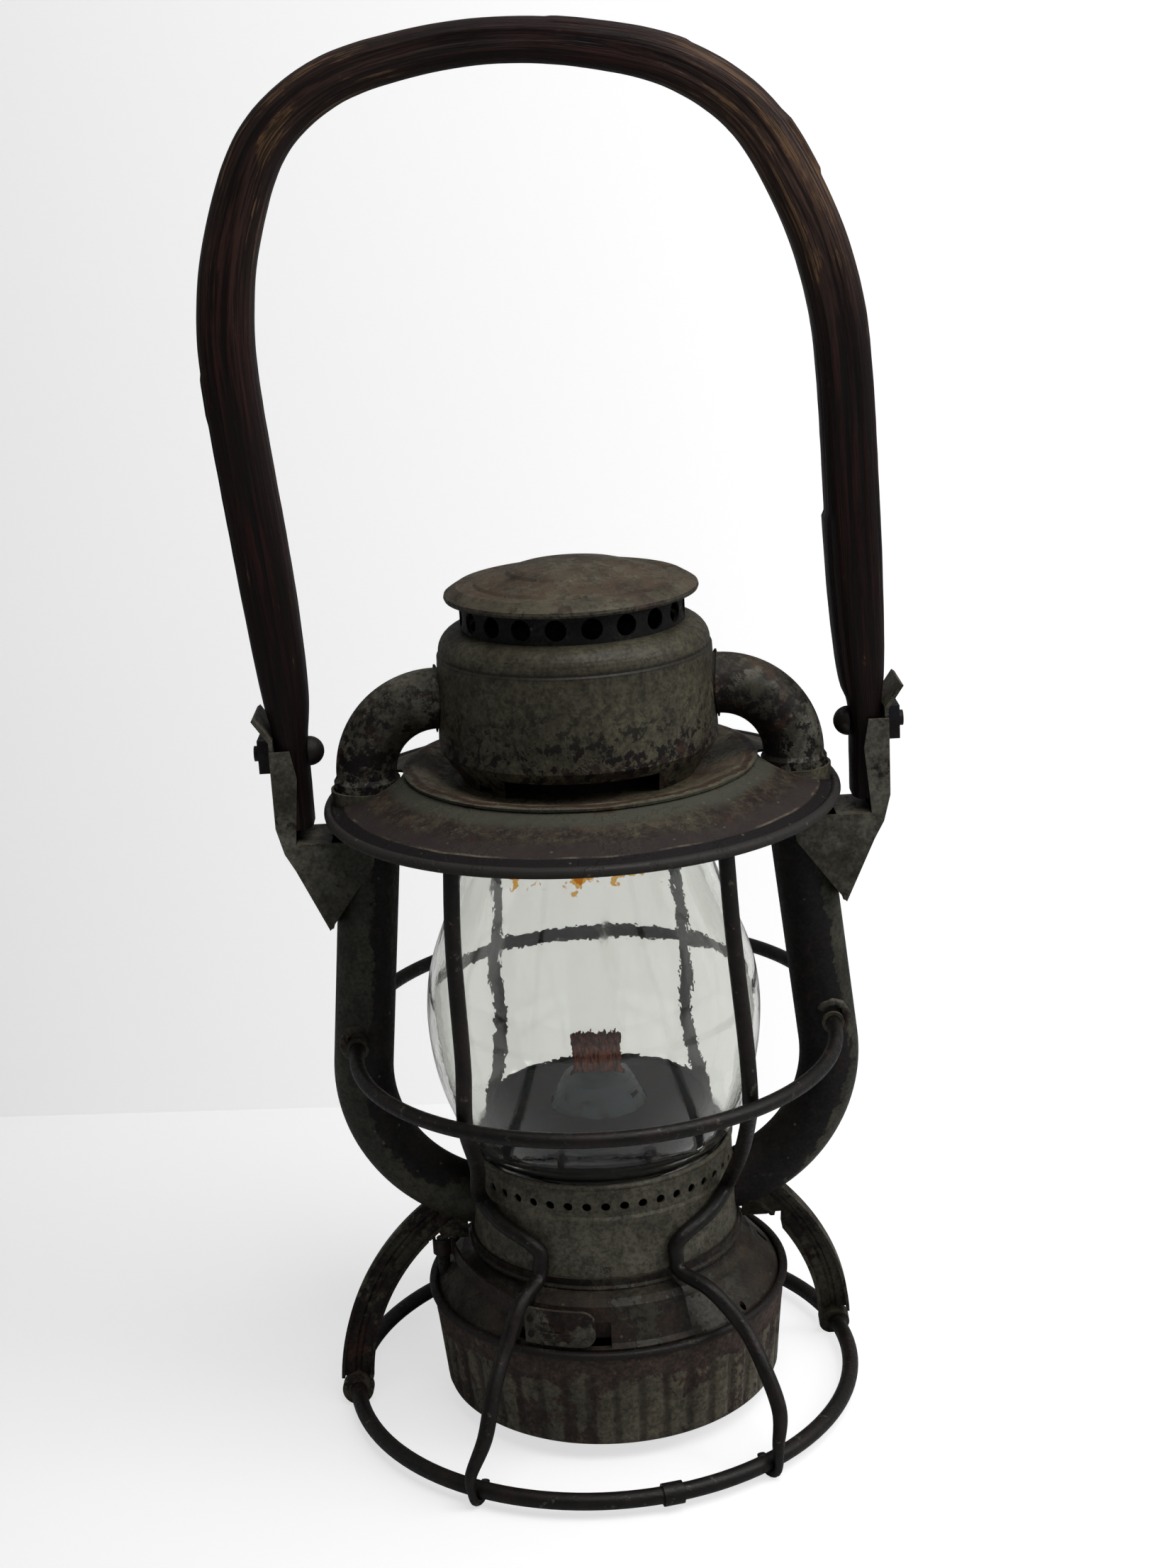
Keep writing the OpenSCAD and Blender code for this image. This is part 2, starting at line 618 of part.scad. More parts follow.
// Half of the bail's centre line: distance from the axis, height and thickness
bail_half = [[bail_x, 0, bail_foot_t], [bail_x, 14, bail_foot_t], [bail_x, 25, bail_foot_t],
    [bail_x, 38, bail_t * 0.82], [bail_x + 0.3, 60, bail_t * 0.96], [bail_x + 0.9, 0.37 * bail_h, bail_t],
    [bail_x + 2, 0.56 * bail_h, bail_t], [bail_x + 0.6, 0.66 * bail_h, bail_t],
    [bail_x * 0.94, 0.76 * bail_h, bail_t * 0.97], [bail_x * 0.8, 0.867 * bail_h, bail_t * 0.92],
    [bail_x * 0.58, 0.932 * bail_h, bail_t * 0.86], [bail_x * 0.3, 0.962 * bail_h, bail_t * 0.8]];
module bail() color(wood) {
    top = bail_h - bail_t * 0.39;
    fall = [for (p = bail_half) [p[0], min(p[1], top), p[2]]];
    key = concat([for (p = fall) [p[0], p[1], p[2]]], [[0, top, bail_t * 0.78]],
        [for (i = [len(fall) - 1:-1:0]) [-fall[i][0], fall[i][1], fall[i][2]]]);
    leaned = [for (p = key)
        [p[0] - bail_lean * pow(max(p[1] - 25, 0) / (top - 25), 1.1), 0, bail_z + p[1], p[2]]];
    path = smooth(leaned, 3);
    sides = 16;
    difference() {
        loft([for (i = [0:len(path) - 1])
            let (t = head3(path, i), n = [t[2], 0, -t[0]], p = [path[i][0], 0, path[i][2]])
            [for (k = [0:sides - 1])
                let (a = 360 * (k + 0.5) / sides,
                    u = sign(cos(a)) * pow(abs(cos(a)), 0.62), v = sign(sin(a)) * pow(abs(sin(a)), 0.62))
                p + n * (u * path[i][3] / 2) + [0, v * bail_w / 2, 0]]]);
        for (side = [-1, 1]) translate([side * bail_x, 0, bolt_z]) rotate([0, 90, 0])
            cylinder(d = bolt_d + 2 * slip, h = 30, center = true, $fn = 32);
    }
}

module bail_bolts() color(worn) {
    head_r = 4.4;
    inner_x = bail_x - bail_foot_t / 2 - seat;
    for (side = [-1, 1]) on_side(side) {
        translate([inner_x - 0.2, 0, bolt_z]) rotate([0, 90, 0]) cylinder(d = bolt_d, h = 16.4, $fn = 32);
        translate([inner_x, 0, bolt_z]) rotate([0, -90, 0]) rotate_extrude($fn = 48)
            polygon(concat([[0, 0]], arc([0, 0], head_r, 0, 90, 8)));
    }
}

module bail_nuts() color(steel_blue) {
    for (side = [-1, 1]) on_side(side)
        translate([web_x + web_t + weld, 0, bolt_z]) rotate([0, 90, 0]) difference() {
            rotate([0, 0, 45]) cylinder(r = nut_w / sqrt(2), h = 3.8, $fn = 4);
            translate([0, 0, -over]) cylinder(d = bolt_d + 2 * weld, h = 6, $fn = 32);
        }
}

// Guard wires: down the outside of the globe, in to the collar and out again as a leg
// that hooks under the base ring. Facing is -1 for the front and 1 for the rear.
// Its distances from the middle, at the brim and at the guard ring, are shares of the ring's radius.
module guard_wire(side, facing, top_share, ring_share, foot_angle) {
    x_top = top_share * guard_r;
    ring_x = ring_share * guard_r;
    ring_y = guard_in + sqrt(guard_wire_r * guard_wire_r - ring_x * ring_x);
    hug = collar_r + wire_r + slip;
    top_y = sqrt((brim_r - 4.6) * (brim_r - 4.6) - x_top * x_top);
    grip = 27.5;
    out = base_ring_r;
    hook_r = hook_t / 2;
    reach = base_wire_d / 2 + hook_r + slip;
    // Round the collar: angle, how far it stands off and its distance below the rim
    round_collar = [[60, 1.4, 9], [47, 0, 15], [32.5, 0, 18.6], [grip, 0, 21.6]];
    // The leg: radius, angle and height
    leg = [[collar_r + wire_r + 0.4, grip, collar_z0 + 8.4], [collar_r + 4.6, grip, collar_z0 + 4.6],
        [fount_rim_r - 0.3, (grip + foot_angle) / 2, collar_z0 + 1.1],
        [fount_rim_r + 8, foot_angle, rim_z + 3.2], [out - 6, foot_angle, rim_z - 5.5],
        [out + 0.6, foot_angle, base_z + 15.5]];
    // The hook, from the base ring's centre line: outward, upward and wire radius
    hook = [[reach, 6.5, 1.8], [reach, 0.6, 1.35], [0.7 * reach, -0.7 * reach, hook_r],
        [0, -reach, hook_r], [-0.7 * reach, -0.7 * reach, hook_r], [-reach, 0.6, hook_r]];
    points = concat(
        [[x_top, top_y, brim_z - 0.7, wire_r], [x_top + 1, top_y + 1.6, brim_z - 24, wire_r],
        [ring_x - 0.6, ring_y - 0.8, guard_z + 18, wire_r], [ring_x, ring_y, guard_z + 3, wire_r],
        [ring_x - 0.2, ring_y - 2.6, guard_z - 5, wire_r],
        [ring_x - 1.4, (ring_y + 24) / 2, (guard_z + collar_z1) / 2 - 6.6, wire_r]],
        [for (p = round_collar) [hug * sin(p[0]), hug * cos(p[0]) + p[1], collar_z1 - p[2], wire_r]],
        [for (p = leg) [p[0] * sin(p[1]), p[0] * cos(p[1]), p[2], wire_r]],
        [for (p = hook) [(out + p[0]) * sin(foot_angle) + base_shift * side,
            (out + p[0]) * cos(foot_angle) - base_forward * facing, base_z + p[1], p[2]]]);
    path = smooth([for (p = points) [p[0] * side, p[1] * facing, p[2], p[3]]], 3);
    wire(path, 8);
}
module guard_wire_front_left() color(worn) { guard_wire(-1, -1, 0.514, 0.528, 29.5); }
module guard_wire_front_right() color(worn) { guard_wire(1, -1, 0.528, 0.583, 37); }
module guard_wire_rear_left() color(worn) { guard_wire(-1, 1, 0.444, 0.472, 33); }
module guard_wire_rear_right() color(worn) { guard_wire(1, 1, 0.444, 0.472, 33); }

// Each half of the guard ring ends on the side tubes
module guard_half() {
    translate([0, -guard_in, guard_z]) difference() {
        rotate([0, 0, 180 - 4]) rotate_extrude(angle = 188)
            translate([guard_r, 0]) circle(d = guard_wire_d, $fn = 32);
        for (side = [-1, 1])
            translate([side * tube_reach, guard_in, -20]) cylinder(r = tube_d / 2 + 0.25, h = 40);
        translate([-100, guard_in, -20]) cube([200, 40, 40]);
    }
}
module guard_ring_front() color(worn) { guard_half(); }
module guard_ring_rear() color(worn) { rotate([0, 0, 180]) guard_half(); }

// Solder where the ring's ends meet the tubes
module ring_solder() color(paint) {
    for (side = [-1, 1], facing = [-1, 1])
        translate([side * guard_r, 0, guard_z]) difference() {
            rotate([90 * facing, 0, 0]) translate([0, 0, guard_in - 4])
                cylinder(r = 3.4, h = 2.6, $fn = 48);
            rotate([90, 0, 0]) cylinder(d = guard_wire_d + 0.3, h = 60, center = true, $fn = 48);
            translate([side * (tube_reach - guard_r), 0, -20])
                cylinder(r = tube_d / 2 + 0.25, h = 40);
        }
}

// Base ring, its joint sleeve and the two pressed legs
module base_ring() color(worn) {
    translate([base_shift, -base_forward, 0]) ring_at(base_z, base_ring_r, base_wire_d / 2);
}

module ring_sleeve() color(worn) {
    translate([base_shift, -base_forward, base_z]) rotate([0, 0, 13])
        translate([0, -base_ring_r, 0]) rotate([0, 90, 0]) difference() {
            cylinder(d = base_wire_d + 1.6, h = 6, center = true, $fn = 48);
            cylinder(d = base_wire_d + 0.2, h = 8, center = true, $fn = 48);
        }
}

// Section of a leg: a shallow channel with a pressed middle rib
module leg_section() {
    h = leg_w / 2;
    polygon([[-h, 2.2], [-h, -1.5], [-1.6, -1.5], [-0.9, -2.4], [0.9, -2.4], [1.6, -1.5], [h, -1.5],
        [h, 2.2], [h - 1, 2.2], [h - 1, -0.4], [1.2, -0.4], [0.5, -1.3], [-0.5, -1.3], [-1.2, -0.4],
        [-h + 1, -0.4], [-h + 1, 2.2]]);
}

latch_clear_r = norm(post) + 4.2;
leg_top_z = bend_z - sqrt(pow(tube_bend_r + tube_d / 2, 2) - pow(leg_top_x - bend_x, 2)) - 0.6;
module leg(side, foot_y) color(paint) {
    foot_x = sqrt(pow(base_ring_r, 2) - pow(foot_y + base_forward, 2)) + side * base_shift;
    lobe_r = 4.9;
    lobe_z = lobe_r + 0.1;
    lean = atan(foot_y / (leg_top_z - base_z));
    tall = (leg_top_z - lobe_z) / cos(lean);
    run = foot_x - leg_top_x;
    // The bend stands upright on the ring and passes through the leg's seat on the tube
    bend_r = (run * run + tall * tall) / (2 * run);
    centre_x = foot_x - bend_r;
    rise = asin(tall / bend_r);
    difference() {
        translate([0, foot_y, lobe_z]) rotate([lean, 0, 0]) {
            translate([centre_x, 0, 0]) rotate([90, 0, 0]) rotate([0, 0, 3])
                rotate_extrude(angle = rise + 6) translate([bend_r, 0]) leg_section();
            translate([foot_x, 0, 0]) rotate([90, 0, 0]) cylinder(r = lobe_r, h = 4, center = true, $fn = 48);
            // Ear that the leg is soldered by, under the side tube
            translate([leg_top_x - 5, 0, tall - 4]) rotate([90, 0, 0])
                cylinder(r = 6, h = 2, center = true, $fn = 48);
        }
        tube_run(tube_d / 2 + weld, 0);
        cylinder(r = collar_r + 2, h = 200);
        // Clear of the skirt, the latch and its post
        cylinder(r = latch_clear_r, h = leaf_z + leaf_h + seat);
        translate([side * base_shift, -base_forward, base_z]) rotate_extrude()
            translate([base_ring_r, 0]) circle(base_wire_d / 2 + weld, $fn = 32);
        translate([0, 0, -20]) cylinder(r = 200, h = 20);
    }
}
module leg_left() { on_side(-1) leg(-1, left_foot_y); }
module leg_right() { on_side(1) leg(1, right_foot_y); }

// Hood: the dish, the globe's seat, the flue, the drum, the elbows, the crown and the cap
module dish_plate() color(worn) {
    lip_z = brim_in_z + hood_wall + 0.35;
    revolve(sheet([[flue_r + slip, dish_z], [drum_r - 4, dish_z], [drum_r - 0.5, dish_z + 0.7],
        [brim_hole_r - 4.6, lip_z - 0.9], [brim_hole_r - 2.4, lip_z], [brim_hole_r + 0.2, lip_z],
        [brim_hole_r + 1.4, lip_z - 0.3]], hood_wall));
}

module globe_seat() color(worn) {
    neck_r = 0.658 * globe_r;
    revolve([[neck_r + 0.8, globe_z1 - 3], [neck_r + 1.6, globe_z1 - 3], [neck_r + 1.6, dish_z - hood_wall],
        [neck_r - 4, dish_z - hood_wall], [neck_r - 4, dish_z - hood_wall - 0.8],
        [neck_r + 0.8, dish_z - hood_wall - 0.8], [neck_r + 0.8, globe_z1 + 1.1],
        [neck_r - 4, globe_z1 + 1.1], [neck_r - 4, globe_z1 + seat], [neck_r + 0.8, globe_z1 + seat]]);
}

module flue() color(worn) {
    difference() {
        pipe(flue_r, flue_r - 0.7, dish_z - hood_wall, drum_z1 - 6);
        hole_row(24, 2.2, dish_z + 3.6, flue_r, 5);
    }
}

module drum() color(paint) {
    shoulder = 6.8;
    skirt_z = drum_z0 + 9.9;
    upper_r = drum_r - 1;
    difference() {
        revolve(sheet(concat([[crown_r - 3, drum_z1], [upper_r - 0.5 - shoulder, drum_z1]],
            arc([upper_r - 0.5 - shoulder, drum_z1 - shoulder], shoulder, 80, 0, 8),
            [[upper_r - 0.5, drum_z1 - shoulder - 0.6], [upper_r, drum_z1 - shoulder - 1.1],
            [drum_r, skirt_z], [drum_r - 6.7, drum_z0]]), hood_wall));
        translate([-22, -60, drum_z0 - 1]) cube([44, 60, 7.6]);
        translate([-29.5, -60, drum_z0 - 1]) cube([4, 60, 4]);
        for (side = [-1, 1]) translate([side * drum_r, 0, elbow_z]) rotate([0, 90, 0])
            cylinder(r = elbow_r + slip, h = 20, center = true);
    }
}

module elbow() color(paint) {
    foot_z0 = tube_top_z + seat;
    down_z = elbow_z - elbow_bend_r;
    inner_r = elbow_r - tube_wall;
    bead_r = socket_bore_r - seat;
    drop = down_z - foot_z0;
    translate([elbow_in_x, 0, down_z]) {
        rotate([90, 0, 0]) rotate_extrude(angle = 90) translate([elbow_bend_r, 0]) disc(elbow_r, inner_r);
        translate([-3, 0, elbow_bend_r]) rotate([0, 90, 0]) linear_extrude(3) disc(elbow_r, inner_r);
        translate([elbow_bend_r, 0, -drop]) linear_extrude(drop) disc(elbow_r, inner_r);
        translate([elbow_bend_r, 0, brim_z + 4.4 - down_z]) rotate_extrude()
            polygon([[elbow_r - 0.2, 0], [bead_r, 0], [bead_r, 3.6], [elbow_r - 0.2, 5.2]]);
    }
    difference() {
        translate([elbow_in_x - 2, 0, elbow_z]) rotate([0, 90, 0]) pipe(elbow_r + 1, elbow_r - 0.2, 0, 2);
        cylinder(r = drum_r + weld, h = drum_z1);
    }
}
module elbow_left() { on_side(-1) elbow(); }
module elbow_right() { on_side(1) elbow(); }

module crown_ring() color(worn) {
    difference() {
        pipe(crown_r, crown_r - hood_wall, drum_z1, crown_z1);
        hole_row(crown_holes, crown_hole_d, drum_z1 + 4.2, crown_r, 5, 180 / crown_holes);
    }
}

module cap() color(worn) {
    top_z = cap_z + cap_rise;
    step_z = cap_z + 0.66 * cap_rise;
    revolve(sheet([[0, top_z], [9, top_z - 0.35], [15.6, top_z - 1.2], [18, top_z - 1.9],
        [19, step_z], [crown_r - 5.4, cap_z + 3.1], [crown_r - 4.4, cap_z + 2.4],
        [crown_r + 0.6, cap_z + 2.4], [cap_r - 1.2, cap_z + 0.9], [cap_r - 0.2, cap_z + 0.2],
        [cap_r, cap_z - 0.6], [cap_r - 0.3, cap_z - 1.3]], hood_wall));
}

fount_body();
fount_top();
fount_rim();
collar();
base_skirt();
globe_plate();
globe();
burner_collar();
burner_body();
burner_cone();
wick_tube();
wick();
wick_shaft();
wick_knob();
latch_leaf();
latch_tab();
latch_rivets();
side_tube_left();
side_tube_right();
tube_socket_left();
tube_socket_right();
top_plate();
bail_bracket_left();
bail_bracket_right();
bail();
bail_bolts();
bail_nuts();
guard_wire_front_left();
guard_wire_front_right();
guard_wire_rear_left();
guard_wire_rear_right();
guard_ring_front();
guard_ring_rear();
ring_solder();
base_ring();
ring_sleeve();
leg_left();
leg_right();
dish_plate();
globe_seat();
flue();
drum();
elbow_left();
elbow_right();
crown_ring();
cap();
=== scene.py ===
# %% [markdown]
# # A railroad lantern
# The lantern is sheet metal, wire, glass and one bent stick of wood. Its construction comes
# as a finished frame of solid pieces, so this lesson is about looks: old paint that has
# chipped down to brown steel, dust that lies where rain can't wash it off, glass that is only
# seen at its edges, and the few pieces whose form needs more life than the frame gives them.

import math

import bmesh
import bpy
import numpy as np
from mathutils import Matrix, Vector


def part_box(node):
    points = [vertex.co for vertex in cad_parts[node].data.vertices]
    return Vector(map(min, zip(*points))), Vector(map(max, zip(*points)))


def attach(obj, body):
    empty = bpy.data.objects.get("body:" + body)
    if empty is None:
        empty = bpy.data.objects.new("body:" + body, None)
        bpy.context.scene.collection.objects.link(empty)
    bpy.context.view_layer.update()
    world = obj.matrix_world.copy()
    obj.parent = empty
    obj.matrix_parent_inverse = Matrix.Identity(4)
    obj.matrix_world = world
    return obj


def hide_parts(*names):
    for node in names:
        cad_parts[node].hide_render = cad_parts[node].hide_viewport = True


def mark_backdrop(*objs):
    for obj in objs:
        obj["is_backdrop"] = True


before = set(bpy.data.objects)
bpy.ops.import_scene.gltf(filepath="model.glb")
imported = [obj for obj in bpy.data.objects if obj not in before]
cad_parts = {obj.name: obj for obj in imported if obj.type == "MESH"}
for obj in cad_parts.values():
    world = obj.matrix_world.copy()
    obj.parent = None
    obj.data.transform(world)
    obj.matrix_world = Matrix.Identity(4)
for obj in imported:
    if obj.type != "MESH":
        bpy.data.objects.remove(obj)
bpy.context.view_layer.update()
print("solid pieces:", len(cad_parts))

# %% [markdown]
# ## The camera
# The picture was taken from a little above the lantern with a fairly long lens, and the
# camera was held slightly askew. A camera is described best by where it stands and which way
# it looks: its forward, right and up directions are worked out from pitch, roll and yaw, and
# put into a matrix, which leaves no doubt about the order of the turns.

# %% Camera
scene = bpy.context.scene


def placed(name, data):
    """A new object in the scene for a mesh, a lamp or a camera."""
    made = bpy.data.objects.new(name, data)
    scene.collection.objects.link(made)
    return made


view_distance, view_height, view_side = 0.6715, 0.3932, 0.0019
view_pitch, view_roll, view_yaw = math.radians(16.334), math.radians(-3.114), math.radians(0.449)
focal_share = 3320 / 2212


def camera_axes(pitch, roll):
    """Right, up and backward unit vectors: forward is tipped down by pitch, then the picture rolls."""
    forward = Vector((0, math.cos(pitch), -math.sin(pitch)))
    level = Vector((1, 0, 0))
    up = level.cross(forward)
    right = math.cos(roll) * level + math.sin(roll) * up
    top = -math.sin(roll) * level + math.cos(roll) * up
    return right, top, -forward


lens = bpy.data.cameras.new("camera")
lens.sensor_fit = "VERTICAL"
lens.sensor_height = 24
lens.lens = 24 * focal_share
lens.clip_start = 0.01
camera = placed("camera", lens)
axes = Matrix(camera_axes(view_pitch, view_roll)).transposed().to_4x4()
place = Matrix.Translation((view_side, -view_distance, view_height)) @ axes
camera.matrix_world = Matrix.Rotation(-view_yaw, 4, "Z") @ place
scene.camera = camera
print("lens", round(lens.lens, 2), "mm")

# %% [markdown]
# ## Room and light
# A white room: a floor that takes the lantern's soft shadow, a wall behind it, and light that
# comes from everywhere with a little more from above and from the right. Floor and wall glow
# only for rays that end in the eye, also through the glass, so they are white in the picture
# without adding light to the lantern. From behind the wall can't be seen at all, so the
# lantern's back shows too.

# %% Floor, wall and lamps
def link(value, socket):
    """Links an output to a socket, or sets the socket to a plain value."""
    if isinstance(value, bpy.types.NodeSocket):
        socket.id_data.links.new(value, socket)
    else:
        socket.default_value = value


def fill(node, **inputs):
    """Fills the inputs of a node that are named; an underscore stands for a space."""
    for name, value in inputs.items():
        link(value, node.inputs[name.replace("_", " ")])
    return node


def add(tree, kind, **inputs):
    """Adds a shader node to a tree and fills its inputs."""
    return fill(tree.nodes.new("ShaderNode" + kind), **inputs)


def add_beside(kind, values, sockets=None, **settings):
    """Adds a node to the tree of the first output among some values; its inputs get them in order."""
    made = add(next(value.id_data for value in values if isinstance(value, bpy.types.NodeSocket)), kind)
    for name, choice in settings.items():
        setattr(made, name, choice)
    for value, index in zip(values, sockets or range(len(values))):
        link(value, made.inputs[index])
    return made


def calc(operation, *values):
    """One step of arithmetic on numbers or outputs."""
    return add_beside("Math", values, operation=operation).outputs[0]


def plus(first, second):
    """The sum of two numbers or outputs."""
    return calc("ADD", first, second)


def minus(first, second):
    """The difference of two numbers or outputs."""
    return calc("SUBTRACT", first, second)


def times(first, second):
    """The product of two numbers or outputs."""
    return calc("MULTIPLY", first, second)


def xyz(vector):
    """The three parts of a vector."""
    return add_beside("SeparateXYZ", [vector]).outputs


def tint(red, green, blue):
    """A colour given as it looks on a screen, 0 to 255, as the linear colour that shaders use."""
    share = np.array([red, green, blue]) / 255
    linear = np.where(share <= 0.04045, share / 12.92, ((share + 0.055) / 1.055) ** 2.4)
    return (*linear.tolist(), 1.0)


def seen_light(tree, through_glass=1.0):
    """1 for rays from the eye, a given share for rays through glass, and 0 for all others."""
    path = add(tree, "LightPath")
    glass_ray = times(path.outputs["Is Transmission Ray"], through_glass)
    return calc("MAXIMUM", path.outputs["Is Camera Ray"], glass_ray)


def room_material(name, color, left_glow, right_glow):
    """A matt surface that glows for the eye alone, weaker on the left, and through glass only behind it."""
    material = bpy.data.materials.new(name)
    material.use_nodes = True
    tree = material.node_tree
    tree.nodes.clear()
    matt = add(tree, "BsdfDiffuse", Color=color)
    place = xyz(add(tree, "TexCoord").outputs["Object"])
    slope = add(tree, "MapRange", Value=place["X"], From_Min=-0.35, From_Max=0.2,
                To_Min=left_glow, To_Max=right_glow)
    behind = add(tree, "MapRange", Value=place["Y"], From_Min=-0.12, From_Max=0.0)
    light = add(tree, "Emission", Color=(1, 1, 1, 1),
                Strength=times(seen_light(tree, behind.outputs[0]), slope.outputs[0]))
    both = add(tree, "AddShader")
    link(matt.outputs[0], both.inputs[0])
    link(light.outputs[0], both.inputs[1])
    open_back = add(tree, "MixShader", Fac=add(tree, "NewGeometry").outputs["Backfacing"])
    link(both.outputs[0], open_back.inputs[1])
    link(add(tree, "BsdfTransparent").outputs[0], open_back.inputs[2])
    add(tree, "OutputMaterial", Surface=open_back.outputs[0])
    return material


def flat_piece(name, corners, material):
    """One flat face with the given corners, marked as part of the room."""
    mesh = bpy.data.meshes.new(name)
    mesh.from_pydata(corners, [], [(0, 1, 2, 3)])
    mesh.materials.append(material)
    made = placed(name, mesh)
    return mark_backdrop(made)


wall_left_y, wall_right_y = 0.486, -0.060
half_room, room_depth, wall_height = 4, 3, 4
flat_piece("floor", [(-half_room, -room_depth, 0), (half_room, -room_depth, 0), (half_room, room_depth, 0),
                     (-half_room, room_depth, 0)],
           room_material("white_floor", (0.5, 0.5, 0.5, 1), 0.47, 0.78))
flat_piece("wall", [(-half_room, wall_left_y, 0), (half_room, wall_right_y, 0),
                    (half_room, wall_right_y, wall_height), (-half_room, wall_left_y, wall_height)],
           room_material("white_wall", (0.4, 0.4, 0.4, 1), 0.52, 0.9))


def soft_lamp(name, place, aim, size, power):
    """A square lamp of a given size that looks from its place towards a point."""
    light = bpy.data.lights.new(name, "AREA")
    light.size = size
    light.energy = power
    made = placed(name, light)
    made.location = place
    made.rotation_euler = (Vector(aim) - Vector(place)).to_track_quat("-Z", "Y").to_euler()


soft_lamp("ceiling", (0.4, -0.45, 1.5), (0, 0, 0.2), 1.1, 14)
soft_lamp("window", (1.35, -0.4, 1.0), (0, 0, 0.16), 0.8, 8)
soft_lamp("far_side", (-1.3, 0.1, 0.7), (0, 0, 0.2), 0.4, 0.6)

world = bpy.data.worlds.new("room_light")
world.use_nodes = True
fill(world.node_tree.nodes["Background"], Color=(0.95, 0.97, 1, 1),
     Strength=calc("MAXIMUM", seen_light(world.node_tree), 0.09))
scene.world = world
scene.view_settings.view_transform = "Standard"

# %% [markdown]
# ## Effects that many finishes share
# Old paint, dust and small specks show up all over the lantern. Each is built once as a group
# of nodes with named inputs, and every material sets them to its own colours and scale. They
# all read Object coordinates, in metres, so a pattern has the same size on every piece and
# stays on it when it moves.

# %% Small node helpers
def mix(share, first, second, blend="MIX"):
    """Mixes two colours by a share from 0 to 1."""
    made = add_beside("Mix", (share, first, second), (0, 6, 7), data_type="RGBA", blend_type=blend)
    return made.outputs[2]


def rise(value, low, high, start=0.0, end=1.0):
    """A smooth step from start to end, as value goes from low to high."""
    values = (value, low, high, start, end)
    return add_beside("MapRange", values, interpolation_type="SMOOTHSTEP").outputs[0]


def between(value, low, full, fade, high):
    """1 from full to fade and 0 below low and above high: a step up times a step down."""
    return times(rise(value, low, full), rise(value, fade, high, 1.0, 0.0))


def noise(vector, size, detail=5.0, rough=0.6, warp=0.0):
    """Cloudy noise around a half; size is how many features there are in a metre."""
    return add(vector.id_data, "TexNoise", Vector=vector, Scale=size, Detail=detail, Roughness=rough,
               Distortion=warp).outputs[0]


def stretched(vector, x, y, z):
    """Coordinates scaled apart along the axes, which draws a pattern out into streaks."""
    return add(vector.id_data, "Mapping", Vector=vector, Scale=(x, y, z)).outputs[0]


def normal_parts(here):
    """The parts of the direction that the surface faces; here only says which tree."""
    return xyz(add(here.id_data, "NewGeometry").outputs["Normal"])


def new_group(name, colors, numbers, outputs):
    """A node group that reads coordinates, colours and numbers: returns what comes in and what goes out."""
    tree = bpy.data.node_groups.new(name, "ShaderNodeTree")
    inputs = {"Vector": "Vector"} | dict.fromkeys(colors, "Color") | dict.fromkeys(numbers, "Float")
    for way, sockets in (("INPUT", inputs), ("OUTPUT", outputs)):
        for label, kind in sockets.items():
            tree.interface.new_socket(label, in_out=way, socket_type="NodeSocket" + kind)
    return tree.nodes.new("NodeGroupInput").outputs, tree.nodes.new("NodeGroupOutput").inputs


def use(name, here, **inputs):
    """Places a node group beside the coordinates that it reads, and fills its other inputs."""
    made = add(here.id_data, "Group")
    made.node_tree = bpy.data.node_groups[name]
    return fill(made, Vector=here, **inputs).outputs


# %% [markdown]
# Paint doesn't fade into bare metal, it breaks off. Chips come from two scales of noise added
# together and cut by a steep step, which leaves islands with torn edges. Beside each edge the
# worn-through paint is paler, so a second, slightly wider cut gives that rim.

# %% Group: chipped paint
given, out = new_group("Chipped paint", ["Paint", "Faded", "Bare", "Rust"], ["Size", "Cover"],
                       {"Color": "Color", "Roughness": "Float", "Height": "Float"})
here = given["Vector"]
coarse = noise(here, given["Size"], 4.0, 0.55, 0.6)
fine = noise(here, times(given["Size"], 7.0), 4.0, 0.7)
torn = plus(times(coarse, 0.68), times(fine, 0.32))
level = minus(0.68, times(given["Cover"], 0.36))
painted = rise(torn, minus(level, 0.012), plus(level, 0.012))
worn_rim = rise(torn, minus(level, 0.035), plus(level, 0.005))
cloud = noise(here, 34.0, 5.0, 0.65)
grit = noise(here, 900.0, 2.0, 0.7)
coat = mix(rise(cloud, 0.4, 0.62), given["Paint"], given["Faded"])
rusted = rise(noise(here, 130.0, 6.0, 0.7), 0.48, 0.66)
metal = mix(rusted, given["Bare"], given["Rust"])
thin = mix(times(worn_rim, 0.45), metal, given["Faded"])
both = mix(painted, thin, coat)
mottle = plus(times(grit, 0.45), times(fine, 0.55))
shade = mix(rise(mottle, 0.36, 0.64), (0.5, 0.5, 0.5, 1), (1.35, 1.35, 1.35, 1))
link(mix(1.0, both, shade, "MULTIPLY"), out["Color"])
link(rise(plus(times(painted, 0.25), grit), 0.3, 1.0, 0.68, 0.42), out["Roughness"])
link(plus(times(painted, 0.6), times(grit, 0.3)), out["Height"])

# %% [markdown]
# Dust settles on what faces up, and lies thicker where it was left alone. The surface's own
# direction gives the first, a broad noise the second.

# %% Groups: dust and specks
given, out = new_group("Dust", ["Color", "Dust"], ["Amount"], {"Color": "Color", "Mask": "Float"})
here = given["Vector"]
lies = rise(normal_parts(here)["Z"], 0.15, 0.95)
drift = rise(noise(here, 70.0, 6.0, 0.7), 0.3, 0.68)
mask = times(times(lies, drift), given["Amount"])
link(mix(mask, given["Color"], given["Dust"]), out["Color"])
link(mask, out["Mask"])

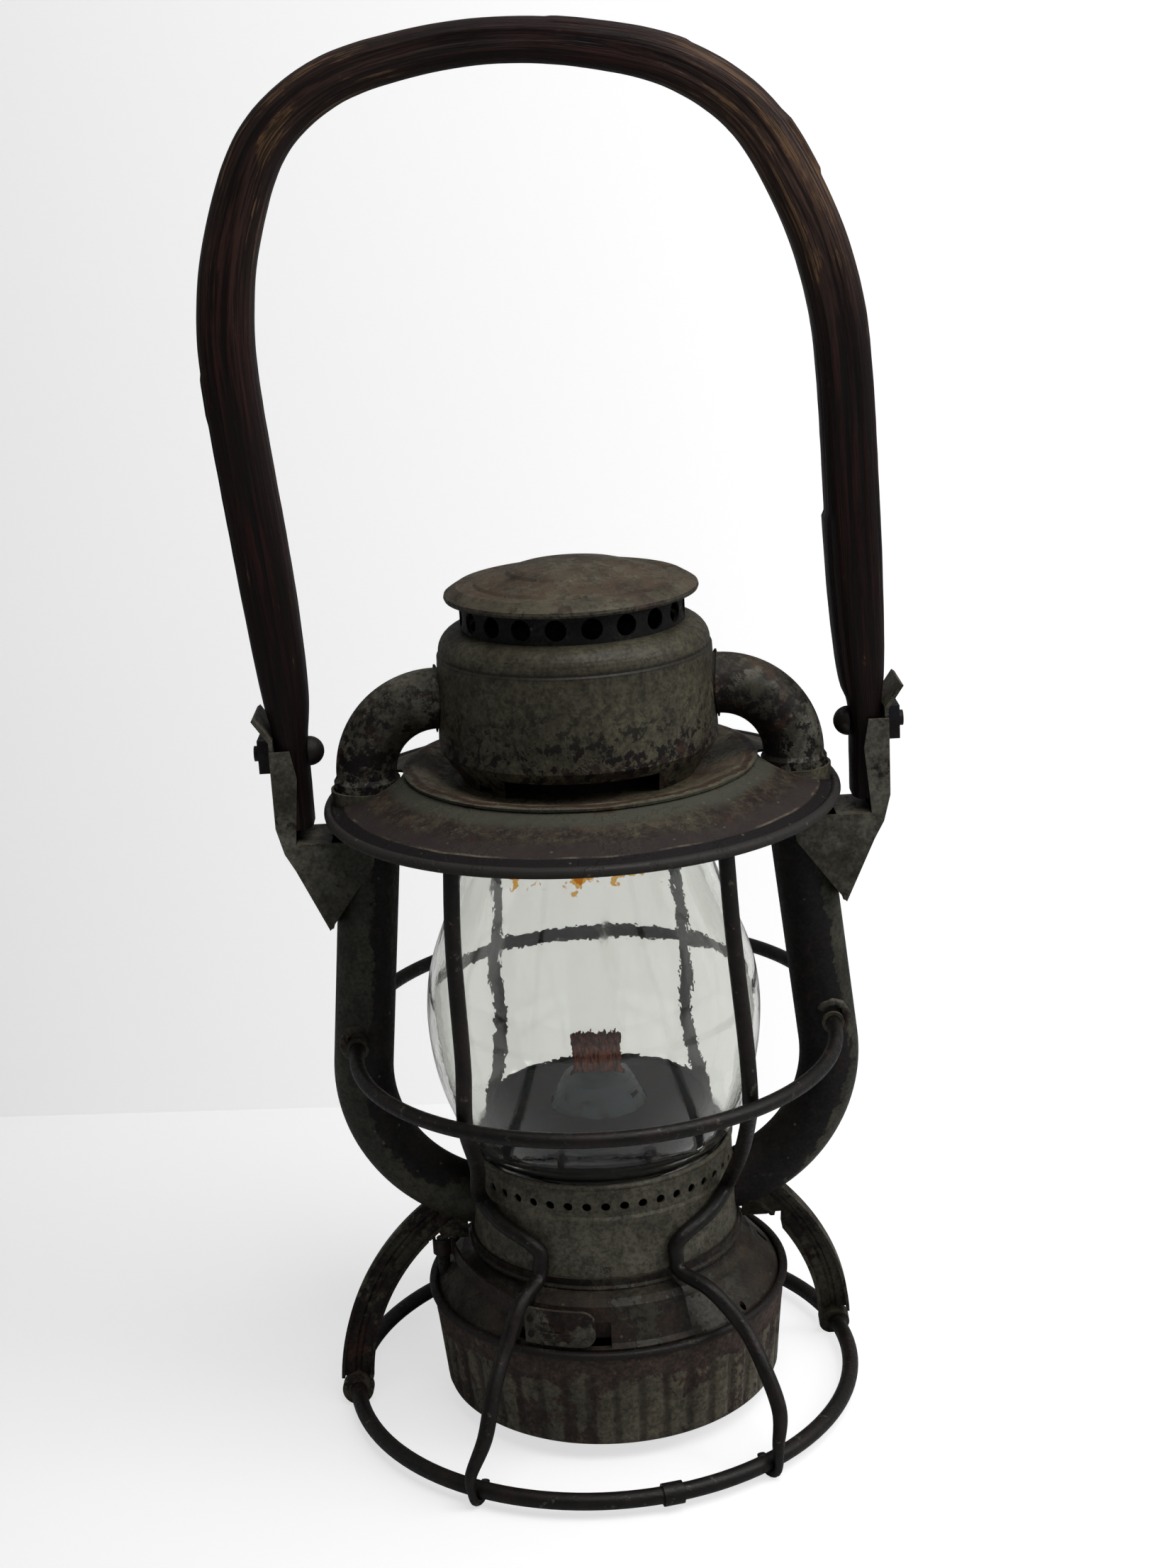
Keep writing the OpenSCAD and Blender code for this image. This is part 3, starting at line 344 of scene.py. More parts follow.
given, out = new_group("Specks", [], ["Size", "Share"], {"Mask": "Float"})
here = given["Vector"]
cells = add(here.id_data, "TexVoronoi", Vector=here, Scale=given["Size"])
near = rise(cells.outputs["Distance"], 0.12, 0.24, 1.0, 0.0)
chosen = xyz(cells.outputs["Color"])["X"]
picked = calc("LESS_THAN", chosen, given["Share"])
link(times(near, picked), out["Mask"])
print("groups:", [g.name for g in bpy.data.node_groups])

# %% [markdown]
# ## Finishes of the metal
# The body is one dark olive paint, but time has treated each piece in its own way: the drum
# keeps its paint at the shoulder and is pitted below, the tubes are worn on their inner
# sides, the brim lies under beige dust. So one function makes the paint, and each piece tells
# it where the paint is still there.

# %% Painted metal
OLIVE = tint(54, 52, 42)
OLIVE_FADED = tint(78, 75, 61)
PURPLE_BROWN = tint(38, 30, 28)
RUST = tint(62, 42, 33)
SOOT = tint(26, 24, 24)
DUST = tint(112, 102, 84)


def new_material(name):
    """An empty material: returns it, its shader and the coordinates of the piece in metres."""
    material = bpy.data.materials.new(name)
    material.use_nodes = True
    tree = material.node_tree
    return material, tree.nodes["Principled BSDF"], add(tree, "TexCoord").outputs["Object"]


def bump(shader, height, depth, strength=1.0):
    """Turns a height of 0 to 1 into dents of the given depth in metres."""
    dents = add(height.id_data, "Bump", Height=height, Distance=depth, Strength=strength)
    link(dents.outputs[0], shader.inputs["Normal"])


def old_paint(name, cover=0.6, size=60.0, paint=OLIVE, faded=OLIVE_FADED, bare=PURPLE_BROWN, rust=RUST,
              dust=0.35, specks=0.05, change=None):
    """Chipped paint, dust and pale specks; cover may be a function of the coordinates."""
    material, shader, here = new_material(name)
    left = cover(here) if callable(cover) else cover
    coat = use("Chipped paint", here, Paint=paint, Faded=faded, Bare=bare, Rust=rust, Size=size,
               Cover=left)
    dusty = use("Dust", here, Color=coat["Color"], Dust=DUST, Amount=dust)
    color = change(here, dusty["Color"]) if change else dusty["Color"]
    speck = use("Specks", here, Size=420.0, Share=specks)["Mask"]
    fill(shader, Base_Color=mix(times(speck, 0.5), color, DUST), Specular_IOR_Level=0.26,
         Roughness=calc("MAXIMUM", coat["Roughness"], times(dusty["Mask"], 0.9)))
    bump(shader, coat["Height"], 0.00022)
    return material


def drum_cover(here):
    """Paint thins out from the shoulder down to the foot."""
    return rise(xyz(here)["Z"], 0.208, 0.24, 0.56, 0.95)


def pitted(here, color):
    """Small rust pits, more of them low on the drum, and painted shade in the crease under its shoulder."""
    height = xyz(here)["Z"]
    low = rise(height, 0.214, 0.236, 1.0, 0.15)
    pits = rise(noise(here, 300.0, 4.0, 0.68), 0.53, 0.57)
    spotted = mix(times(pits, low), color, tint(20, 15, 15))
    # A dark band just under the shoulder's ledge: painted shade that dims the ledge's highlight.
    shoulder_crease_shade = between(height, 0.2376, 0.2386, 0.2392, 0.2402)
    return mix(times(shoulder_crease_shade, 0.7), spotted, tint(24, 21, 19))


def inner_wear(here):
    """Paint is gone on the side that faces the globe, more of it on the right: direction times side."""
    side = calc("SIGN", xyz(here)["X"])
    outward = times(normal_parts(here)["X"], side)
    kept = minus(outward, calc("MULTIPLY_ADD", side, 0.3, 0.08))
    return rise(kept, -0.3, 0.5, 0.1, 0.9)


def streaked(here, color):
    """Darker runs that go down the metal."""
    runs = noise(stretched(here, 1, 1, 0.12), 240.0, 4.0, 0.6)
    return mix(rise(runs, 0.52, 0.68, 0.0, 0.55), color, tint(36, 33, 30))


body_paint = old_paint("body_paint", cover=0.84, size=48.0, paint=tint(62, 59, 48),
                       faded=tint(88, 84, 69), bare=tint(50, 40, 36), rust=tint(70, 50, 42),
                       change=streaked)
drum_paint = old_paint("drum_paint", cover=drum_cover, size=52.0, paint=tint(61, 58, 46),
                       faded=tint(80, 77, 62), bare=tint(50, 39, 34), rust=tint(66, 46, 38), dust=0.15,
                       change=pitted)
collar_paint = old_paint("collar_paint", cover=0.9, size=44.0, paint=tint(78, 75, 63),
                         faded=tint(98, 95, 82), bare=tint(64, 54, 48), rust=tint(80, 62, 52), dust=0.2)
tube_paint = old_paint("tube_paint", cover=inner_wear, size=42.0, paint=tint(44, 43, 35),
                       faded=tint(62, 60, 49), bare=tint(20, 17, 17), rust=tint(32, 24, 21), dust=0.15)
elbow_paint = old_paint("elbow_paint", cover=0.5, size=58.0, faded=tint(92, 90, 80), bare=tint(26, 22, 21),
                        dust=0.25, change=pitted)
ear_paint = old_paint("ear_paint", cover=0.62, size=40.0, faded=tint(92, 90, 80))
skirt_paint = old_paint("skirt_paint", cover=0.5, size=55.0, paint=tint(34, 33, 28), faded=tint(50, 48, 40),
                        bare=tint(32, 26, 24), rust=tint(48, 35, 29), dust=0.25)
leg_paint = old_paint("leg_paint", cover=0.5, size=48.0)
print("painted finishes ready")

# %% [markdown]
# The fount was painted too, but its flutes have rubbed against everything, so only islands of
# a paler coat are left on them, and the smooth band under the rim is brown.

# %% Fount, brim and cap finishes
flute_count = 44


def fount_cover(here):
    """Little paint in the band under the rim, more on the flutes."""
    ragged = plus(xyz(here)["Z"], times(noise(here, 90.0, 4.0), 0.006))
    runs = noise(stretched(here, 1, 1, 0.3), 150.0, 4.0, 0.65)
    return plus(rise(ragged, 0.029, 0.034, 0.6, 0.15), rise(runs, 0.35, 0.65, -0.2, 0.2))


def flute_shade(here, color):
    """Painted shade in the pressed grooves: cosine of the flute count times the angle round the axis."""
    place = xyz(here)
    angle = calc("ARCTAN2", place["X"], times(place["Y"], -1.0))
    wave = calc("COSINE", times(angle, flute_count))
    uneven = noise(stretched(here, 1, 1, 0.4), 160.0)
    groove_shade_wave = plus(wave, times(uneven, 1.6))
    low = rise(place["Z"], 0.0285, 0.031, 1.0, 0.0)
    # Darker where the flutes dip in: painted shade in the grooves.
    groove = times(rise(groove_shade_wave, 0.9, 1.7), low)
    return mix(times(groove, 0.6), color, tint(40, 32, 29))


fount_paint = old_paint("fount_paint", cover=fount_cover, size=50.0, paint=tint(84, 80, 68),
                        faded=tint(102, 96, 81), bare=tint(70, 58, 52), rust=tint(84, 67, 59), dust=0.15,
                        change=flute_shade)


def from_axis(here):
    """Distance from the lantern's axis, in metres."""
    place = xyz(here)
    return calc("SQRT", plus(calc("POWER", place["X"], 2.0), calc("POWER", place["Y"], 2.0)))


def brim_zones(here, color):
    """By distance from the axis: rusty lip, grey-green, dust, smooth brown, worn edge with a painted
    highlight, a dark fold of painted shade, bead.
    """
    ragged = plus(from_axis(here), times(minus(noise(here, 80.0), 0.5), 0.006))
    fibres = rise(noise(here, 430.0, 5.0, 0.8), 0.49, 0.57)
    band = between(ragged, 0.0525, 0.054, 0.062, 0.067)
    dusted = mix(times(band, times(fibres, 0.42)), color, tint(90, 83, 67))
    patches = times(rise(noise(here, 75.0, 6.0, 0.7), 0.5, 0.6), rise(ragged, 0.056, 0.06))
    dusted = mix(times(patches, 0.55), dusted, tint(34, 24, 22))
    green = between(ragged, 0.0515, 0.0525, 0.0555, 0.0595)
    grey = mix(times(green, 0.75), dusted, tint(72, 74, 64))
    line = between(ragged, 0.0485, 0.050, 0.0512, 0.052)
    lipped = mix(times(line, 0.8), grey, tint(46, 29, 23))
    smooth = times(rise(ragged, 0.063, 0.067), 0.75)
    outer = mix(smooth, lipped, tint(50, 43, 42))
    true_radius = plus(from_axis(here), times(minus(noise(here, 60.0, 2.0), 0.5), 0.0012))
    # A near-black band where the brim steps down to its bead: painted shade of that step.
    groove = between(true_radius, 0.0703, 0.0708, 0.0742, 0.0752)
    dark = mix(times(groove, 0.92), outer, tint(14, 11, 11))
    # A pale line at the brim's edge: worn paint together with a painted highlight on that edge.
    worn = between(true_radius, 0.0696, 0.0701, 0.0703, 0.0707)
    worn_edge_and_highlight = times(worn, rise(noise(here, 45.0, 5.0, 0.7), 0.47, 0.62, 0.0, 0.6))
    edged = mix(worn_edge_and_highlight, dark, tint(124, 113, 94))
    bead = times(rise(true_radius, 0.0746, 0.0752), 0.85)
    return mix(bead, edged, tint(46, 45, 42))


brim_paint = old_paint("brim_paint", cover=0.42, size=46.0, paint=tint(47, 43, 34), faded=tint(62, 56, 44),
                       bare=tint(36, 27, 25), rust=tint(57, 37, 29), dust=0.2, specks=0.12,
                       change=brim_zones)
dish_paint = old_paint("dish_paint", cover=0.5, size=60.0, paint=tint(82, 78, 62), faded=tint(106, 99, 79),
                       bare=tint(64, 53, 45), rust=tint(84, 65, 51), dust=0.6, specks=0.16,
                       change=brim_zones)


def cap_zones(here, color):
    """Rust-brown dust in the dished ring of the cap."""
    ring = between(from_axis(here), 0.017, 0.021, 0.03, 0.036)
    spots = times(ring, rise(noise(here, 150.0, 6.0, 0.7), 0.42, 0.62))
    return mix(times(spots, 0.7), color, tint(84, 66, 50))


cap_paint = old_paint("cap_paint", cover=0.5, size=55.0, paint=tint(58, 55, 45), faded=tint(78, 74, 60),
                      bare=tint(46, 38, 33), rust=tint(74, 56, 42), dust=0.5, specks=0.12, change=cap_zones)
crown_paint = old_paint("crown_paint", cover=0.35, size=60.0, paint=tint(26, 25, 24),
                        faded=tint(38, 37, 34), bare=tint(18, 17, 17), rust=tint(30, 25, 23), dust=0.1)
print("zoned finishes ready")

# %% [markdown]
# Wire, rims and small iron parts were dipped or painted black. Handling leaves them nearly
# black with small pale spots where the coat is through, and a little brown between.

# %% Wire and small iron parts
def dark_iron(name, dark, light, metallic=0.4, rough=0.5, share=0.62, shine=0.35):
    """Nearly black metal with worn spots and fine pits."""
    material, shader, here = new_material(name)
    brown = mix(rise(noise(here, 110.0, 5.0, 0.65), 0.46, 0.64), dark, tint(36, 28, 26))
    spots = rise(noise(here, 340.0, 5.0, 0.7), share, share + 0.05)
    pits = noise(here, 800.0, 4.0, 0.7)
    fill(shader, Base_Color=mix(spots, brown, light), Metallic=metallic, Specular_IOR_Level=shine,
         Roughness=rise(pits, 0.3, 0.7, rough + 0.16, rough - 0.1))
    bump(shader, pits, 0.00016)
    return material


black_wire = dark_iron("black_wire", tint(24, 22, 20), tint(72, 68, 59), metallic=0.2, rough=0.42,
                       share=0.61)
rim_iron = dark_iron("rim_iron", tint(32, 28, 26), tint(64, 58, 50), metallic=0.2, share=0.6)
nut_iron = dark_iron("nut_iron", tint(38, 40, 45), tint(74, 76, 80), metallic=0.55, rough=0.45)
burner_brass = dark_iron("burner_brass", tint(62, 48, 38), tint(120, 94, 62), metallic=0.7)
spring_brown = dark_iron("spring_brown", tint(50, 39, 36), tint(78, 64, 58), metallic=0.3, rough=0.45)
deck_steel = dark_iron("deck_steel", tint(12, 18, 22), tint(32, 41, 46), metallic=0.1, rough=0.6,
                       share=0.66, shine=0.08)
cone_steel = dark_iron("cone_steel", tint(62, 68, 73), tint(92, 98, 102), metallic=0.1, rough=0.45,
                       share=0.68, shine=0.2)
soot_black = dark_iron("soot_black", SOOT, tint(50, 46, 42), metallic=0.1, rough=0.7)

# %% [markdown]
# ## Glass
# Clear glass has almost no colour of its own: it is seen where it bends what is behind it. A
# thin grey film dulls it in patches, and near its mouth lie amber runs of something that was
# spilled and burnt on. The shell is solid and closed, with air inside, so the light bends at
# both of its surfaces as in the real one.

# %% Globe glass
def globe_glass():
    """Clear glass with a patchy film, amber runs below the mouth and painted shade round the foot."""
    material, shader, here = new_material("globe_glass")
    long = stretched(here, 1, 1, 0.3)
    film = rise(noise(long, 60.0, 6.0, 0.7), 0.5, 0.72)
    clear = mix(times(film, 0.4), tint(236, 237, 233), tint(218, 216, 207))
    high = rise(plus(xyz(here)["Z"], times(noise(long, 120.0, 3.0), 0.028)), 0.1905, 0.1912)
    blots = rise(noise(here, 130.0, 3.0, 0.6), 0.54, 0.57)
    amber = times(high, blots)
    # The glass turns dark near its foot: painted shade over the bright base.
    painted_foot_shade = rise(xyz(here)["Z"], 0.0862, 0.0878, 0.85, 0.0)
    fill(shader, Base_Color=mix(painted_foot_shade, mix(amber, clear, tint(186, 110, 24)), tint(34, 34, 32)),
         Roughness=rise(plus(film, amber), 0.2, 1.4, 0.015, 0.22), Transmission_Weight=0.985, IOR=1.48)
    bump(shader, noise(here, 330.0, 2.0, 0.5), 0.00003)
    return material


glass = globe_glass()

# %% [markdown]
# ## Giving every metal piece its finish
# The pieces of the frame whose form is right keep it, and only get their material.

# %% Assign finishes
finishes = {
    collar_paint: ["collar"],
    body_paint: ["tube_socket_left", "tube_socket_right", "ring_solder"],
    drum_paint: ["drum"],
    elbow_paint: ["elbow_left", "elbow_right"],
    tube_paint: ["side_tube_left", "side_tube_right"],
    ear_paint: ["bail_bracket_left", "bail_bracket_right", "latch_tab"],
    skirt_paint: ["base_skirt", "fount_top"],
    leg_paint: ["leg_left", "leg_right"],
    fount_paint: ["fount_body"],
    brim_paint: ["top_plate"],
    dish_paint: ["dish_plate"],
    cap_paint: ["cap"],
    crown_paint: ["crown_ring"],
    black_wire: ["guard_wire_front_left", "guard_wire_front_right", "guard_wire_rear_left",
                 "guard_wire_rear_right", "guard_ring_front", "guard_ring_rear", "base_ring",
                 "ring_sleeve"],
    rim_iron: ["fount_rim", "latch_rivets", "bail_bolts"],
    nut_iron: ["bail_nuts"],
    burner_brass: ["burner_collar", "burner_body", "wick_tube", "wick_shaft", "wick_knob"],
    spring_brown: ["latch_leaf"],
    deck_steel: ["globe_plate"],
    cone_steel: ["burner_cone"],
    soot_black: ["globe_seat", "flue"],
    glass: ["globe"],
}
for material, names in finishes.items():
    for name in names:
        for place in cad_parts[name].material_slots:
            place.material = material
print("finished:", sum(len(names) for names in finishes.values()), "pieces")

# %% [markdown]
# ## Surfaces from arrays
# The next pieces are grids of points worked out as whole arrays. A grid has one row for each
# station along the piece and one column for each step around it. The helper joins
# neighbouring points into faces, closes the seam, and merges the points of a row that has
# shrunk to one spot, which closes the ends.

# %% Grid helper
def grid_piece(name, rows, body, material, uv=None, smooth_angle=40):
    """A closed surface over rows of points, shape (rows, columns, 3); the last column joins the first."""
    count, around = rows.shape[:2]
    along = np.arange(count - 1)[:, None] * around
    here = np.arange(around)[None, :]
    there = (here + 1) % around
    faces = np.stack([along + here, along + there, along + around + there, along + around + here], -1)
    mesh = bpy.data.meshes.new(name)
    mesh.from_pydata(rows.reshape(-1, 3), [], faces.reshape(-1, 4))
    if uv is not None:
        layer = mesh.uv_layers.new(name="surface")
        length, turn = uv
        low, high = length[:-1, None] + 0 * here, length[1:, None] + 0 * here
        steps = np.stack([np.stack([level, turn * (here + more + 0 * along)], -1)
                          for level, more in ((low, 0), (low, 1), (high, 1), (high, 0))], 2)
        layer.data.foreach_set("uv", steps.reshape(-1))
    shell = bmesh.new()
    shell.from_mesh(mesh)
    bmesh.ops.remove_doubles(shell, verts=shell.verts, dist=1e-6)
    bmesh.ops.recalc_face_normals(shell, faces=shell.faces)
    shell.to_mesh(mesh)
    shell.free()
    mesh.polygons.foreach_set("use_smooth", np.ones(len(mesh.polygons), bool))
    mesh.set_sharp_from_angle(angle=math.radians(smooth_angle))
    mesh.materials.append(material)
    made = placed(name, mesh)
    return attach(made, body)


def turns(count):
    """Angles once around, evenly spread."""
    return 2 * np.pi * np.arange(count) / count


def about_axis(radius, height, turn):
    """Points at radii, heights and angles from the front about the lantern's axis."""
    return np.stack([radius * np.sin(turn), -radius * np.cos(turn), height + 0 * radius], -1)


def bulge(wave, power):
    """A sine or cosine to a power with its sign kept, which squares a circle off."""
    return np.sign(wave) * np.abs(wave) ** power


def capped(rows, first, last):
    """Rows of points, with a row of one repeated point before and after them."""
    ends = [np.broadcast_to(point, (1, rows.shape[1], 3)) for point in (first, last)]
    return np.concatenate([ends[0], rows, ends[1]])


def through(points, steps):
    """A smooth curve through all the points: 0.5 (2b + (c-a)t + (2a-5b+4c-d)t2 + (3b-a-3c+d)t3)."""
    knots = np.asarray(points, float)
    ends = np.vstack([knots[:1], knots, knots[-1:]])
    a, b, c, d = ends[:-3], ends[1:-2], ends[2:-1], ends[3:]
    t = (np.arange(steps) / steps)[:, None, None]
    curve = 0.5 * (2 * b + (c - a) * t + (2 * a - 5 * b + 4 * c - d) * t**2
                   + (3 * b - a - 3 * c + d) * t**3)
    return np.vstack([curve.transpose(1, 0, 2).reshape(-1, knots.shape[1]), knots[-1:]])


def evenly(curve, step):
    """The same curve with points a fixed step apart; the first three columns are its place."""
    ahead = np.linalg.norm(np.diff(curve[:, :3], axis=0), axis=1)
    gone = np.concatenate([[0], np.cumsum(ahead)])
    marks = np.linspace(0, gone[-1], int(gone[-1] / step) + 1)
    return np.stack([np.interp(marks, gone, column) for column in curve.T], 1), marks


def ripple(t, seed, waves=6, first=1.0):
    """A smooth random curve from -1 to 1: a sum of cosines with seeded sizes and places."""
    chance = np.random.default_rng(seed)
    total = 0 * t
    for wave in range(waves):
        total = total + chance.uniform(0.4, 1) * np.cos(first * (wave + 1) * t + chance.uniform(0, 6.28))
    return total / waves


# %% [markdown]
# ## The bail
# A straight-grained stick was steamed and bent into a hoop, and a century of hands and hooks
# has dried it out. Its grain runs along the bend, so the pattern can't use plain coordinates:
# the surface carries its own, length along the stick and distance around it. The stick is a
# rounded square, thinned to flat tongues where it goes into its ears, with long grooves where
# the grain has opened.

# %% Bail: centre line and surface
bail_foot_x, bail_foot_z, bail_rise, bail_lean = 0.0845, 0.1895, 0.225, 0.012
bail_thick, bail_wide, bail_tongue, bail_ear = 0.0158, 0.017, 0.009, 0.025
bail_sides, bail_girth, bail_power, grain_grooves = 72, 0.055, 0.62, 16
top_line = bail_rise - 0.39 * bail_thick
half = np.array([[1, 0, bail_tongue], [1, 0.014, bail_tongue], [1, bail_ear, bail_tongue],
                 [1, 0.038, 0.82 * bail_thick], [1.0036, 0.06, 0.96 * bail_thick],
                 [1.0107, 0.37 * bail_rise, bail_thick], [1.0237, 0.56 * bail_rise, bail_thick],
                 [1.0071, 0.66 * bail_rise, bail_thick], [0.94, 0.76 * bail_rise, 0.97 * bail_thick],
                 [0.8, 0.867 * bail_rise, 0.92 * bail_thick], [0.58, 0.932 * bail_rise, 0.86 * bail_thick],
                 [0.3, 0.962 * bail_rise, 0.8 * bail_thick], [0, top_line, 0.78 * bail_thick]])
whole = np.vstack([half, (half * [-1, 1, 1])[-2::-1]])
above_ear = np.maximum(whole[:, 1] - bail_ear, 0) / (top_line - bail_ear)
leaned = whole[:, 0] * bail_foot_x - bail_lean * above_ear**1.1
knots = np.stack([leaned, 0 * leaned, bail_foot_z + whole[:, 1], whole[:, 2]], 1)
bail_line, bail_length = evenly(through(knots, 8), 0.0016)
print("bail stick", round(float(bail_length[-1]), 3), "m long")


# Layers that have lifted: from and to along the stick, side of the stick, height
lifts = [(0.225, 0.262, math.pi, 0.0004), (0.178, 0.196, math.pi - 0.3, 0.0006),
         (0.412, 0.425, math.pi, 0.0003), (0.03, 0.085, 0.1, 0.0008)]


def bail_surface(line, length, around):
    """Superellipse sections across the line, a power of cosine and sine, less open grain grooves."""
    forward = np.gradient(line[:, :3], axis=0)
    forward /= np.linalg.norm(forward, axis=1)[:, None]
    outward = np.stack([-forward[:, 2], 0 * length, forward[:, 0]], 1)
    turn = turns(around)
    thick = (line[:, 3] / 2)[:, None] * bulge(np.cos(turn), bail_power)[None, :]
    wide = bail_wide / 2 * bulge(np.sin(turn), bail_power)[None, :] * (1 + 0 * thick)
    groove = np.zeros_like(thick)
    for seed in range(grain_grooves):
        chance = np.random.default_rng(40 + seed)
        middle = chance.uniform(0, 2 * np.pi) + 0.12 * ripple(length, seed, 4, 14)
        where = np.cos(turn[None, :] - middle[:, None])
        narrow = np.exp((where - 1) / (2 * chance.uniform(0.03, 0.07) ** 2))
        reach = np.clip(ripple(length, 70 + seed, 5, 11) * 2.2, 0, 1)
        groove += narrow * reach[:, None] * chance.uniform(0.0002, 0.00055)
    for begin, end, side, high in lifts:
        edge = np.clip((length - begin) / 0.0008, 0, 1) * np.clip((end - length) / 0.0012, 0, 1)
        patch = np.clip((np.cos(turn - side) - 0.55) / 0.06, 0, 1)
        groove -= high * edge[:, None] * patch[None, :]
    wander = 0.0002 * ripple(length[:, None] + 0.002 * turn[None, :], 5, 7, 60)
    size = 1 - (groove + np.abs(wander)) / (bail_thick / 2)
    return (line[:, None, :3] + outward[:, None, :] * (thick * size)[..., None]
            + np.array([0, 1, 0]) * (wide * size)[..., None])


# %% [markdown]
# The wood is nearly black where hands have polished it and red-brown where the grain is open.
# Streaks are noise drawn out thirty to fifty times along the stick. A few of them are ochre,
# where a splinter has left fresh wood, and fine black lines run between them. The wood is dry
# and dull where the stick bends, most of all on the right.

# %% Bail: wood
def bent_wood():
    """Streaks along the stick from its own coordinates: u is the length, v the distance around."""
    material, shader, spot = new_material("bent_wood")
    here = add(spot.id_data, "UVMap").outputs[0]
    streaks = noise(stretched(here, 0.03, 1, 1), 620.0, 6.0, 0.68, 0.3)
    broad = noise(stretched(here, 0.12, 1, 1), 90.0, 4.0, 0.6)
    hairs = noise(stretched(here, 0.02, 1, 1), 1500.0, 3.0, 0.7)
    place = xyz(spot)
    # Red-brown open grain, held back low on the stick: the wood's own grain with painted shade on the lower
    # parts.
    open_grain_and_low_shade = times(rise(streaks, 0.38, 0.62), rise(place["Z"], 0.22, 0.34, 0.4, 1.0))
    base = mix(open_grain_and_low_shade, tint(10, 4, 5), tint(52, 27, 24))
    aged = mix(rise(broad, 0.44, 0.62, 0.0, 0.75), base, tint(20, 11, 11))
    worn = noise(stretched(here, 0.2, 1, 1), 210.0, 5.0, 0.65)
    off_middle = rise(calc("ABSOLUTE", place["X"]), 0.02, 0.05)
    bend = times(rise(place["Z"], 0.31, 0.37), off_middle)
    level = minus(0.62, times(bend, rise(place["X"], -0.05, 0.05, 0.1, 0.16)))
    dry = times(bend, rise(place["X"], -0.05, 0.05, 0.3, 0.75))
    dried = mix(times(dry, rise(streaks, 0.4, 0.6, 0.25, 1.0)), aged, tint(86, 66, 57))
    rubbed = rise(worn, level, plus(level, 0.07))
    fresh = times(rubbed, rise(streaks, 0.47, 0.55))
    bright = mix(times(fresh, 0.5), dried, tint(134, 102, 68))
    lined = mix(rise(hairs, 0.5, 0.58, 0.0, 0.8), bright, tint(12, 8, 7))
    fill(shader, Base_Color=lined, Roughness=rise(broad, 0.35, 0.65, 0.38, 0.62), Specular_IOR_Level=0.2)
    bump(shader, minus(streaks, times(hairs, 0.6)), 0.0005, 0.8)
    return material


wood = bent_wood()
bail_rows = capped(bail_surface(bail_line, bail_length, bail_sides), bail_line[0, :3], bail_line[-1, :3])
bail_stick = grid_piece("bail_stick", bail_rows, "root", wood,
                        uv=(np.concatenate([[0], bail_length, [bail_length[-1]]]), bail_girth / bail_sides))
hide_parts("bail")
print("bail faces", len(bail_stick.data.polygons))

# %% [markdown]
# ## Wires
# The guard wires are drawn steel, bent by hand over the lantern. They are tubes carried along
# a curve; the section's direction is passed on from station to station, so that it never
# twists, and the radius swells and thins a little as old wire does.

# %% Wire helper
def tube_rows(line, radius, sides, seed=0):
    """Circles square to the line, with the first direction carried along by projection."""
    forward = np.gradient(line, axis=0)
    forward /= np.linalg.norm(forward, axis=1)[:, None]
    across = np.zeros_like(line)
    last = np.array([1.0, 0.3, 0.0])
    for station, ahead in enumerate(forward):
        last = last - ahead * np.dot(last, ahead)
        last = last / np.linalg.norm(last)
        across[station] = last
    other = np.cross(forward, across)
    turn = turns(sides)
    marks = np.concatenate([[0], np.cumsum(np.linalg.norm(np.diff(line, axis=0), axis=1))])
    dents = 1 - 0.03 * np.abs(ripple(marks[:, None] * 60 + 2 * np.cos(turn)[None, :], seed, 7))
    reach = np.broadcast_to(radius, marks.shape)[:, None] * dents
    rows = (line[:, None] + across[:, None] * (reach * np.cos(turn))[..., None]
            + other[:, None] * (reach * np.sin(turn))[..., None])
    return capped(rows, line[0], line[-1])


# %% [markdown]
# Each upright goes from the brim down past the globe, in to the collar where it is soldered,
# and out again as a leg that hooks under the base ring. The four follow one rule with their
# own angles, because use has bent them differently.

# %% Guard wires
collar_radius, collar_rim_z, collar_foot_z = 0.0412, 0.085, 0.0513
brim_edge_radius = 0.0766
guard_ring_z, guard_ring_radius, guard_ring_forward, ring_to_wire = 0.120, 0.072, 0.012, 0.0046
wire_radius, hook_radius, slip, brim_foot_z = 0.0023, 0.00125, 0.0001, 0.194
base_ring_radius, base_ring_shift, base_ring_forward, base_ring_z = 0.0782, -0.003, 0.002, 0.0051
base_ring_half, collar_grip_angle, wire_sides = 0.0025, 27.5, 20


def polar(radius, degrees, height):
    """A point at a radius, an angle from the front and a height."""
    angle = math.radians(degrees)
    return [radius * math.sin(angle), radius * math.cos(angle), height, wire_radius]


